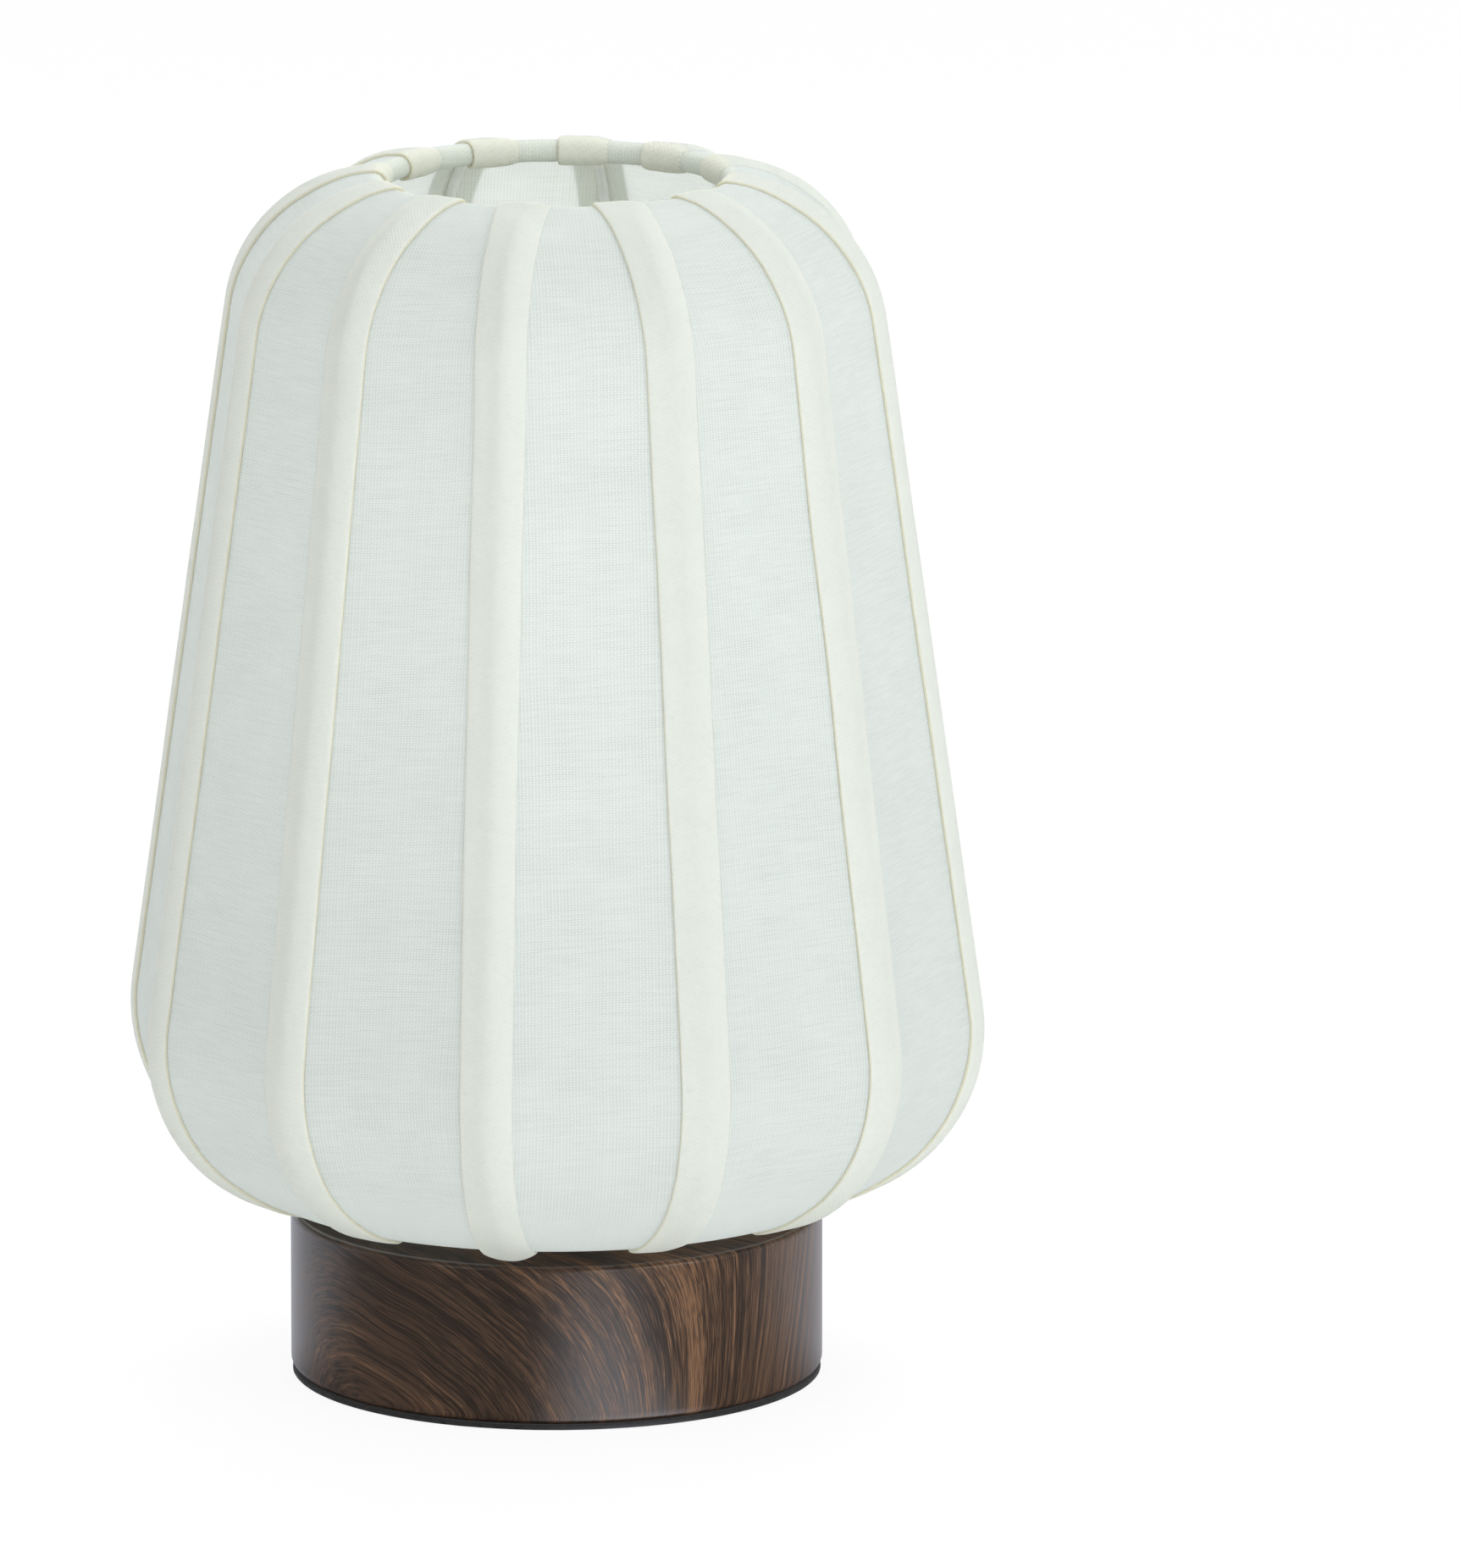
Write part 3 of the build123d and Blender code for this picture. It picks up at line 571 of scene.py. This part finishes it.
def make_cloth():
    material, tree, shader = start_material("shade cloth", Roughness=0.85, Specular_IOR_Level=0.2,
                                            Sheen_Weight=0.15, Sheen_Roughness=0.5)
    where = put(tree, "UVMap", uv_map=weave_map).outputs[0]
    threads = place_group(tree, weave, {"Threads": where, "Pitch across": pitch_across,
                                        "Pitch along": pitch_along, "Openness": 1.0})
    spot = put(tree, "TexCoord").outputs["Object"]
    at_ring = place_group(tree, ring_zone, {"Where": spot})["Mask"]
    height = put(tree, "SeparateXYZ", {0: spot}).outputs[2]
    doubled = work(tree, "MULTIPLY_ADD", span(tree, height, *crown_double), 0.5,
                   span(tree, height, *hem_double))
    left_open = work(tree, "MULTIPLY_ADD", doubled, -closed_when_double, 1.0)
    gap = work(tree, "MULTIPLY", threads["Gap and groove shade"], left_open)
    tone = span(tree, threads["Tone"], 0.25, 0.75)
    colour = blend(tree, tone, thread_shade, thread_white)
    # gap_shade darkens the gaps and paints shade into the grooves between the threads
    colour = blend(tree, gap, colour, gap_shade)
    tree.links.new(cream(tree, at_ring, colour), shader.inputs["Base Color"])
    raise_surface(tree, shader, threads["Height"], 0.16, 0.7)
    let_light_through(tree, shader, at_ring, blend(tree, gap, glow_white, glow_gap))
    return material


cloth = make_cloth()
print("cloth threads every", pitch_across, "mm across and", pitch_along, "mm along")

# %% [markdown]
# ## The twill tape
# Twill shows as fine diagonal ribs, here about 0.8 mm apart, falling from the left to the right. Each rib is a
# row of short floats, so a second pattern, set across the first, breaks it up. The tape is undyed and creamier
# than the cloth. Its tone is painted darker where the twill lies low between the ribs, as shade, and the very
# edge of its rolled fold is a thin tan line of painted shade.

# %% twill group
rib_slope, rib_sway = (0.8, 0.6), 0.7
float_slope, float_sway, float_length = (0.36, -0.93), 0.5, 1.28
rib_share, float_share = 0.6, 0.4
fine_cloud, wide_cloud = (1.6, 0.5), (7, 0.3)
twill, twill_in, twill_out = start_group(
    "twill", [("Threads", "Vector"), ("Pitch", "Float")], [("Height", "Float"), ("Tone", "Float")]
)


def build_twill(tree, source, result):
    where = source.outputs["Threads"]
    split = put(tree, "SeparateXYZ", {0: where}).outputs
    sway = work(tree, "SUBTRACT", grain(tree, where, 11, 2), 0.5)
    slope = work(tree, "MULTIPLY_ADD", split[1], rib_slope[1], work(tree, "MULTIPLY", split[0], rib_slope[0]))
    slope = work(tree, "MULTIPLY_ADD", sway, rib_sway, slope)
    row = work(tree, "DIVIDE", slope, source.outputs["Pitch"])
    rib = work(tree, "ABSOLUTE", work(tree, "SINE", work(tree, "MULTIPLY", row, pi)))
    floats = work(tree, "MULTIPLY", split[0], float_slope[0])
    floats = work(tree, "MULTIPLY_ADD", split[1], float_slope[1], floats)
    floats = work(tree, "MULTIPLY_ADD", sway, float_sway, floats)
    beat = work(tree, "ABSOLUTE", work(tree, "SINE", work(tree, "MULTIPLY", floats, pi / float_length)))
    height = work(tree, "MULTIPLY_ADD", rib, rib_share, work(tree, "MULTIPLY", beat, float_share))
    cloudy = work(tree, "MULTIPLY", grain(tree, where, wide_cloud[0], 3), wide_cloud[1])
    cloudy = work(tree, "MULTIPLY_ADD", grain(tree, where, fine_cloud[0], 2), fine_cloud[1], cloudy)
    # painted shade: the tone is darker where the twill lies low between its ribs, plus a cloudy tone at random
    tone = work(tree, "MULTIPLY_ADD", height, 0.3, cloudy)
    tree.links.new(height, result.inputs["Height"])
    tree.links.new(tone, result.inputs["Tone"])


build_twill(twill, twill_in, twill_out)
print("twill nodes", len(twill.nodes))

# %% tape material
twill_pitch = 0.83
fold_shade_from, fold_shade_full = 7.38, 7.58
tape_light, tape_dark = (0.945, 0.985, 0.985, 1), (0.790, 0.835, 0.826, 1)
# painted shade colour of the thin line along the rolled fold's edge
painted_fold_shade = (0.80, 0.76, 0.60, 1)
tape_glow = (0.965, 0.957, 0.885, 1)


def make_tape():
    material, tree, shader = start_material("twill tape", Roughness=0.8, Specular_IOR_Level=0.2,
                                            Sheen_Weight=0.12, Sheen_Roughness=0.5)
    where = put(tree, "UVMap", uv_map=weave_map).outputs[0]
    threads = place_group(tree, twill, {"Threads": where, "Pitch": twill_pitch})
    colour = blend(tree, span(tree, threads["Tone"], 0.2, 0.7), tape_dark, tape_light)
    edge = work(tree, "ABSOLUTE", put(tree, "SeparateXYZ", {0: where}).outputs[0])
    # paint the thin line of shade along the rolled fold's edge
    colour = blend(tree, span(tree, edge, fold_shade_from, fold_shade_full), colour, painted_fold_shade)
    at_ring = place_group(tree, ring_zone, {"Where": put(tree, "TexCoord").outputs["Object"]})["Mask"]
    tree.links.new(cream(tree, at_ring, colour), shader.inputs["Base Color"])
    raise_surface(tree, shader, threads["Height"], 0.22, 0.9)
    let_light_through(tree, shader, at_ring, tape_glow)
    return material


tape_finish = make_tape()
print("twill ribs every", twill_pitch, "mm")

# %% [markdown]
# ## Striped wood
# The drum is turned from a dark, strongly striped hardwood. Growth rings are shells round the tree's middle, so
# the stripes are made as distance from a line, the pith, which passes below the drum on the left and leans as
# it goes back. The shells of a real trunk are seldom round, so these are squashed, turned and a little bowed.
# Where the turned surface cuts the shells the stripes come out as long curves, over the edge and on the top
# face alike, which a flat picture of wood wrapped round the drum couldn't do.

# %% shells of the wood
pith_start, pith_lean = (-110.0, -80.0), (-1.185, 0.519)
shell_turn, shell_squash, shell_bow = 1.11, 1.626, -0.00575
drum_front = -77.0
arc_radius = 180.0
wide_wave, fine_wave = (30, 3.5), (6, 0.35)


def wood_shells(tree, spot, split):
    """How far a place is from the pith, in millimetres, and how far round it."""
    depth = work(tree, "SUBTRACT", split[1], drum_front)
    aside = work(tree, "SUBTRACT", split[0], work(tree, "MULTIPLY_ADD", depth, pith_lean[0], pith_start[0]))
    above = work(tree, "SUBTRACT", split[2], work(tree, "MULTIPLY_ADD", depth, pith_lean[1], pith_start[1]))
    turn_cos, turn_sin = cos(shell_turn), sin(shell_turn)
    long = work(tree, "MULTIPLY_ADD", aside, turn_cos, work(tree, "MULTIPLY", above, turn_sin))
    high = work(tree, "MULTIPLY_ADD", above, turn_cos, work(tree, "MULTIPLY", aside, -turn_sin))
    long = work(tree, "MULTIPLY_ADD", work(tree, "MULTIPLY", high, high), shell_bow, long)
    high = work(tree, "MULTIPLY", high, shell_squash)
    shell = work(tree, "SQRT", work(tree, "MULTIPLY_ADD", long, long, work(tree, "MULTIPLY", high, high)))
    for size, push in (wide_wave, fine_wave):
        shell = work(tree, "MULTIPLY_ADD", grain(tree, spot, size, 1), push, shell)
    return shell, work(tree, "MULTIPLY", work(tree, "ARCTAN2", high, long), arc_radius)


print("the pith starts at", pith_start, "mm and leans by", pith_lean, "for each mm back")

# %% [markdown]
# ## Bands, streaks, dashes and pores
# On those shells lie four kinds of mark, each of them noise that is drawn out along the rings: broad bands,
# thin streaks, short light dashes, and pores, which are the finest and darkest. Near the pith the wood is
# calmer and darker. A satin lacquer lies over the wall, while the top face, which the shade hides, is dull.

# %% wood material
wood_mid, wood_light = (0.060, 0.0335, 0.0195, 1), (0.178, 0.092, 0.047, 1)
wood_dark = (0.0190, 0.0118, 0.0080, 1)
near_radius, far_radius = 140, 182
pith_calm, pith_dark = 0.45, 0.13
even_wood = 1.7
lacquer_from, lacquer_full = 74.0, 75.5
dull_more, lacquer_coat = 0.4, 0.2


def make_wood():
    material, tree, shader = start_material("striped wood", Roughness=0.36, Specular_IOR_Level=0.25,
                                            Coat_Roughness=0.2)
    spot = put(tree, "TexCoord").outputs["Object"]
    spot = put(tree, "Mapping", {"Vector": spot, "Scale": (1000, 1000, 1000)}).outputs[0]
    split = put(tree, "SeparateXYZ", {0: spot}).outputs
    shell, turn = wood_shells(tree, spot, split)

    def along_rings(across, length, detail, start):
        """Noise drawn out along the rings, with its grain's width and length in millimetres."""
        stretched = put(tree, "CombineXYZ", {0: work(tree, "MULTIPLY_ADD", shell, 1 / across, start),
                                             1: work(tree, "MULTIPLY", turn, 1 / length),
                                             2: work(tree, "MULTIPLY", split[1], 1 / length)}).outputs[0]
        return put(tree, "TexNoise", {"Vector": stretched, "Scale": 1.0, "Detail": detail}).outputs[0]

    bands = along_rings(7.0, 260, 2, 3.1)
    streaks = along_rings(0.9, 130, 2, 7.7)
    dashes = along_rings(0.32, 16.0, 1, 0.4)
    near_pith = span(tree, shell, far_radius, near_radius)
    value = work(tree, "MULTIPLY_ADD", bands, 1.1, work(tree, "MULTIPLY", streaks, 0.9))
    value = work(tree, "MULTIPLY_ADD", dashes, 1.4, value)
    calm = work(tree, "MULTIPLY_ADD", near_pith, -pith_calm, 1.0)
    value = work(tree, "MULTIPLY", work(tree, "SUBTRACT", value, even_wood), calm)
    value = work(tree, "MULTIPLY_ADD", near_pith, -pith_dark, value)
    colour = blend(tree, span(tree, value, 0.01, 0.38), wood_mid, wood_light)
    colour = blend(tree, span(tree, value, 0.03, -0.25), colour, wood_dark)
    pores = span(tree, along_rings(0.32, 8.0, 1, 5.5), 0.44, 0.35)
    colour = blend(tree, work(tree, "MULTIPLY", pores, 0.7), colour, wood_dark)
    tree.links.new(colour, shader.inputs["Base Color"])
    lacquered = span(tree, from_axis(tree, spot), lacquer_from, lacquer_full)
    rough = span(tree, value, -0.25, 0.35, 0.33, 0.42)
    rough = work(tree, "MULTIPLY_ADD", work(tree, "SUBTRACT", 1.0, lacquered), dull_more, rough)
    tree.links.new(rough, shader.inputs["Roughness"])
    tree.links.new(work(tree, "MULTIPLY", lacquered, lacquer_coat), shader.inputs["Coat Weight"])
    raise_surface(tree, shader, work(tree, "SUBTRACT", 1.0, pores), 0.03, 0.35)
    return material


wood = make_wood()
print("wood nodes", len(wood.node_tree.nodes))

# %% [markdown]
# ## Finishes of the hidden and small parts
# Paint, plastic, board, felt, ceramic and metals differ in colour and gloss, but all of them are slightly
# uneven: a cloudy tone, a roughness that varies, and a fine relief. One group makes that unevenness, and a
# table of plain numbers turns it into each finish.

# %% unevenness group
uneven, uneven_in, uneven_out = start_group(
    "unevenness",
    [("Where", "Vector"), ("Cloud size", "Float"), ("Grain size", "Float")],
    [("Cloud", "Float"), ("Grain", "Float")],
)


def build_uneven(tree, source, result):
    for size_name, output, detail in (("Cloud size", "Cloud", 3.0), ("Grain size", "Grain", 2.0)):
        scale = work(tree, "DIVIDE", 1000.0, source.outputs[size_name])
        node = put(tree, "TexNoise", {"Vector": source.outputs["Where"], "Scale": scale, "Detail": detail})
        tree.links.new(node.outputs[0], result.inputs[output])


build_uneven(uneven, uneven_in, uneven_out)
print("unevenness nodes", len(uneven.nodes))


# %% one finish from plain numbers
def make_finish(name, dark, light, rough, metallic=0.0, cloud=12.0, grain_size=0.4, relief=0.02, **plain):
    """A finish between two colours and two roughnesses, with cloud and grain sizes and relief in mm."""
    material, tree, shader = start_material(name, Metallic=metallic, **plain)
    spot = put(tree, "TexCoord").outputs["Object"]
    marks = place_group(tree, uneven, {"Where": spot, "Cloud size": cloud, "Grain size": grain_size})
    tone = work(tree, "MULTIPLY_ADD", marks["Grain"], 0.4, work(tree, "MULTIPLY", marks["Cloud"], 0.6))
    colour = blend(tree, span(tree, tone, 0.36, 0.64), (*dark, 1), (*light, 1))
    tree.links.new(colour, shader.inputs["Base Color"])
    tree.links.new(span(tree, marks["Cloud"], 0.3, 0.7, *rough), shader.inputs["Roughness"])
    raise_surface(tree, shader, marks["Grain"], relief, 0.5)
    return material


print("finish helper ready")

# %% table of finishes
finishes = {
    "white_wire": make_finish("white paint", (0.84, 0.845, 0.81), (0.92, 0.925, 0.89), (0.38, 0.52),
                              cloud=9, grain_size=1.1, relief=0.05, Coat_Weight=0.15, Coat_Roughness=0.3),
    "fibre_board": make_finish("pressed board", (0.16, 0.10, 0.055), (0.30, 0.20, 0.12), (0.75, 0.9),
                               cloud=3, grain_size=0.7, relief=0.08),
    "pad_felt": make_finish("black felt", (0.006, 0.006, 0.006), (0.020, 0.019, 0.020), (0.9, 1.0),
                            cloud=2.2, grain_size=0.35, relief=0.25, Sheen_Weight=0.1),
    "weight_steel": make_finish("rolled steel", (0.22, 0.21, 0.20), (0.36, 0.35, 0.34), (0.35, 0.6),
                                metallic=1.0, cloud=14, grain_size=0.6),
    "zinc_steel": make_finish("zinc plate", (0.55, 0.56, 0.55), (0.72, 0.73, 0.72), (0.25, 0.42),
                              metallic=1.0, cloud=5, grain_size=0.5),
    "black_steel": make_finish("black steel", (0.02, 0.02, 0.021), (0.05, 0.05, 0.052), (0.35, 0.5),
                               metallic=1.0, cloud=6, grain_size=0.4),
    "black_plastic": make_finish("black moulded plastic", (0.011, 0.011, 0.012), (0.022, 0.022, 0.023),
                                 (0.30, 0.45), cloud=8, grain_size=0.35, relief=0.03),
    "white_ceramic": make_finish("white ceramic", (0.70, 0.68, 0.62), (0.84, 0.82, 0.78), (0.15, 0.3),
                                 cloud=6, grain_size=0.5, relief=0.01),
    "brass": make_finish("brass", (0.62, 0.42, 0.14), (0.80, 0.58, 0.25), (0.2, 0.4), metallic=1.0,
                         cloud=5, grain_size=0.3, relief=0.01),
    "nickel": make_finish("nickel plate", (0.58, 0.55, 0.50), (0.74, 0.71, 0.66), (0.15, 0.32), metallic=1.0,
                          cloud=5, grain_size=0.3, relief=0.01),
    "solder": make_finish("solder", (0.42, 0.43, 0.44), (0.62, 0.63, 0.64), (0.3, 0.55), metallic=1.0,
                          cloud=1.5, grain_size=0.4, relief=0.06),
    "black_glass": make_finish("black glass", (0.006, 0.006, 0.008), (0.016, 0.016, 0.02), (0.05, 0.15),
                               cloud=5, grain_size=0.6, relief=0.01),
    "filament": make_finish("coated filament", (0.72, 0.50, 0.10), (0.86, 0.66, 0.20), (0.4, 0.6),
                            cloud=1.2, grain_size=0.3, relief=0.03),
    "clear_glass": make_finish("clear glass", (0.96, 0.97, 0.97), (1.0, 1.0, 1.0), (0.0, 0.03), cloud=20,
                               grain_size=6.0, relief=0.02, Transmission_Weight=1.0, IOR=1.46),
    "panel_cloth": cloth, "twill_tape": tape_finish, "dark_wood": wood,
}
print("finishes", len(finishes))

# %% [markdown]
# ## Giving every part its finish
# The frame's record says which finish each CAD part has, so a loop hands them out. The new soft pieces stand
# for the plain solids that hold their place in the frame, and ride on the same bodies: the shade lifts off with
# its panels and tapes, and the felt stays under the drum.

# %% hand out the finishes
def give(piece, finish):
    piece.data.materials.clear()
    piece.data.materials.append(finishes[finish])


for part in frame["record"]["subparts"]:
    give(frame["nodes"][part["node"]], part["material_slot"])

for number, (panel, tape) in enumerate(zip(panels, tapes), 1):
    give(panel, "panel_cloth")
    give(tape, "twill_tape")
    for piece, node, finish in ((panel, "shade_panel", "panel_cloth"), (tape, "rib_tape", "twill_tape")):
        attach(piece, "shade")
        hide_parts(f"{node}_{number:02d}")
give(felt_disc, "pad_felt")
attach(felt_disc, "root")
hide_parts("foot_pad")

# %% [markdown]


# %% [markdown]
# ## The floor
# The lamp stands on a white floor in a bright room. The camera and the glass see the floor as plain white with
# a share of its real shading, which keeps the soft shadow under the drum. The drum's lacquer mirrors the floor
# in front of it, and in full that would lay a grey haze over the wood, so shiny surfaces see a floor that is
# bright beside and behind the drum, dim in front of it, black under it, and has one bright patch at the front.
# From below the floor can be looked through, and it lies a hair under the felt, so that the two never mix.

# %% floor
floor_half, floor_drop = 6.0, 0.0002
paper_dark, paper_light = (0.93, 0.93, 0.93, 1), (0.95, 0.95, 0.95, 1)
white, cool_white = (1, 1, 1, 1), (0.90, 0.95, 1.06, 1)
white_share = 0.9
bright_behind, dim_before, floor_shine = 0.03, -0.045, 0.15
patch_side, patch_half, patch_core, patch_shine = 16, 26, 3, 5.0
patch_end, patch_full = 0.36, 0.12
drum_shadow = (0.072, 0.078)


def floor_for_shiny(tree, spot):
    """How bright the floor is for surfaces that mirror it."""
    split = put(tree, "SeparateXYZ", {0: spot}).outputs
    level = span(tree, split[1], bright_behind, dim_before, 1.0, floor_shine)
    side = work(tree, "ARCTAN2", split[0], work(tree, "MULTIPLY", split[1], -1))
    side = work(tree, "ABSOLUTE", work(tree, "SUBTRACT", side, radians(patch_side)))
    reach = put(tree, "VectorMath", {0: spot}, operation="LENGTH").outputs[1]
    patch = work(tree, "MULTIPLY", span(tree, side, radians(patch_half), radians(patch_core)),
                 span(tree, reach, patch_end, patch_full))
    level = work(tree, "MULTIPLY_ADD", patch, patch_shine, level)
    return work(tree, "MULTIPLY", level, span(tree, reach, *drum_shadow))


def make_floor():
    mesh = bpy.data.meshes.new("floor")
    plane = bmesh.new()
    bmesh.ops.create_grid(plane, x_segments=1, y_segments=1, size=floor_half)
    bmesh.ops.translate(plane, verts=plane.verts, vec=(0, 0, -floor_drop))
    plane.to_mesh(mesh)
    plane.free()
    floor = bpy.data.objects.new("floor", mesh)
    bpy.context.scene.collection.objects.link(floor)
    material, tree, shader = start_material("white floor", Roughness=0.9, Specular_IOR_Level=0.1)
    spot = put(tree, "TexCoord").outputs["Object"]
    paper = span(tree, grain(tree, spot, 0.4, 3), 0.3, 0.7)
    tree.links.new(blend(tree, paper, paper_dark, paper_light), shader.inputs["Base Color"])
    path = put(tree, "LightPath").outputs
    glare = pick(tree, path["Is Glossy Ray"], 1.0, floor_for_shiny(tree, spot))
    tint = blend(tree, path["Is Glossy Ray"], white, cool_white)
    glow = put(tree, "Emission", {"Color": tint, "Strength": glare})
    seen = work(tree, "MAXIMUM", path["Is Camera Ray"], path["Is Glossy Ray"])
    seen = work(tree, "MAXIMUM", seen, path["Is Transmission Ray"])
    top = mix_shaders(tree, work(tree, "MULTIPLY", seen, white_share), shader, glow)
    below = work(tree, "MULTIPLY", path["Is Camera Ray"], put(tree, "NewGeometry").outputs["Backfacing"])
    whole = mix_shaders(tree, below, top, put(tree, "BsdfTransparent"))
    tree.links.new(whole.outputs[0], tree.nodes["Material Output"].inputs["Surface"])
    mesh.materials.append(material)


make_floor()
print("floor", 2 * floor_half, "m wide, bright patch", patch_side, "degrees to the right")

# %% [markdown]
# ## The room
# The room lights the lamp evenly from all sides, shows as white to the camera, and is dim at the front for
# shiny surfaces, so that the drum's face stays dark.

# %% surroundings
dim_towards, bright_towards = -0.5, 0.2


def make_world(ambient, front_shine):
    world = bpy.data.worlds.new("bright room")
    bpy.context.scene.world = world
    world.use_nodes = True
    tree = world.node_tree
    background = tree.nodes["Background"]
    way = put(tree, "TexCoord").outputs["Generated"]
    depth = put(tree, "SeparateXYZ", {0: way}).outputs[1]
    shine = span(tree, depth, dim_towards, bright_towards, front_shine, 1.0)
    path = put(tree, "LightPath").outputs
    mirrored = work(tree, "MAXIMUM", path["Is Glossy Ray"], path["Is Transmission Ray"])
    level = pick(tree, mirrored, ambient, shine)
    level = pick(tree, path["Is Camera Ray"], level, 1.0)
    tree.links.new(level, background.inputs["Strength"])
    feed(tree, background.inputs["Color"], blend(tree, path["Is Glossy Ray"], white, cool_white))


make_world(ambient=0.83, front_shine=0.08)
print("room ready")

# %% [markdown]
# ## The lamps
# Large soft lamps shape the shade. The strongest front one stands at the right, so the left panels fall off a
# little. One above and behind brightens the shoulder and one behind shines through the cloth. Two small ones
# in front only draw the highlights on the drum, one on its top edge and one along its wall.

# %% lamps
def hang_lamp(name, place, aim, size, power, colour=(1, 1, 1)):
    light = bpy.data.lights.new(name, "AREA")
    light.shape, light.size, light.energy, light.color = "SQUARE", size, power, colour
    lamp = bpy.data.objects.new(name, light)
    lamp.location = place
    lamp.rotation_euler = (Vector(aim) - Vector(place)).to_track_quat("-Z", "Y").to_euler()
    bpy.context.scene.collection.objects.link(lamp)


shade_middle, drum_above, drum_top = (0, 0, 0.2), (0, 0, 0.12), (0, 0, 0.1)
large, small = 1.2, 0.5
hang_lamp("front right", (1.75, -1.45, 0.95), shade_middle, large, 18, (0.985, 1.0, 1.0))
hang_lamp("upper front", (0.9, -2.35, 1.05), drum_top, small, 6)
hang_lamp("front left", (-1.5, -1.6, 0.9), shade_middle, large, 8)
hang_lamp("above behind", (0.2, 0.9, 1.9), shade_middle, large, 17)
hang_lamp("behind", (0, 1.9, 0.5), shade_middle, 1.5, 12.5, (0.95, 0.98, 1.0))
hang_lamp("low front", (0.68, -1.8, 0.05), drum_above, small, 6)
print("lamps", len(bpy.data.lights))

# %% [markdown]
# ## The camera
# The photograph was taken from well back with a long lens, a little above the lamp, so its verticals are
# almost parallel. The camera looks down by about twelve degrees, and the lamp stands left of its middle.

# %% camera
camera_place, looks_down, lens_length = (0.05015, -6.0, 1.4878), 12.364, 490.0


def set_camera():
    data = bpy.data.cameras.new("camera")
    data.lens, data.sensor_width = lens_length, 36.0
    data.clip_start, data.clip_end = 0.1, 50.0
    camera = bpy.data.objects.new("camera", data)
    camera.location = camera_place
    camera.rotation_euler = (radians(90 - looks_down), 0, 0)
    bpy.context.scene.collection.objects.link(camera)
    bpy.context.scene.camera = camera


set_camera()
bpy.context.scene.view_settings.view_transform = "Standard"
print("camera looks down by", looks_down, "degrees")
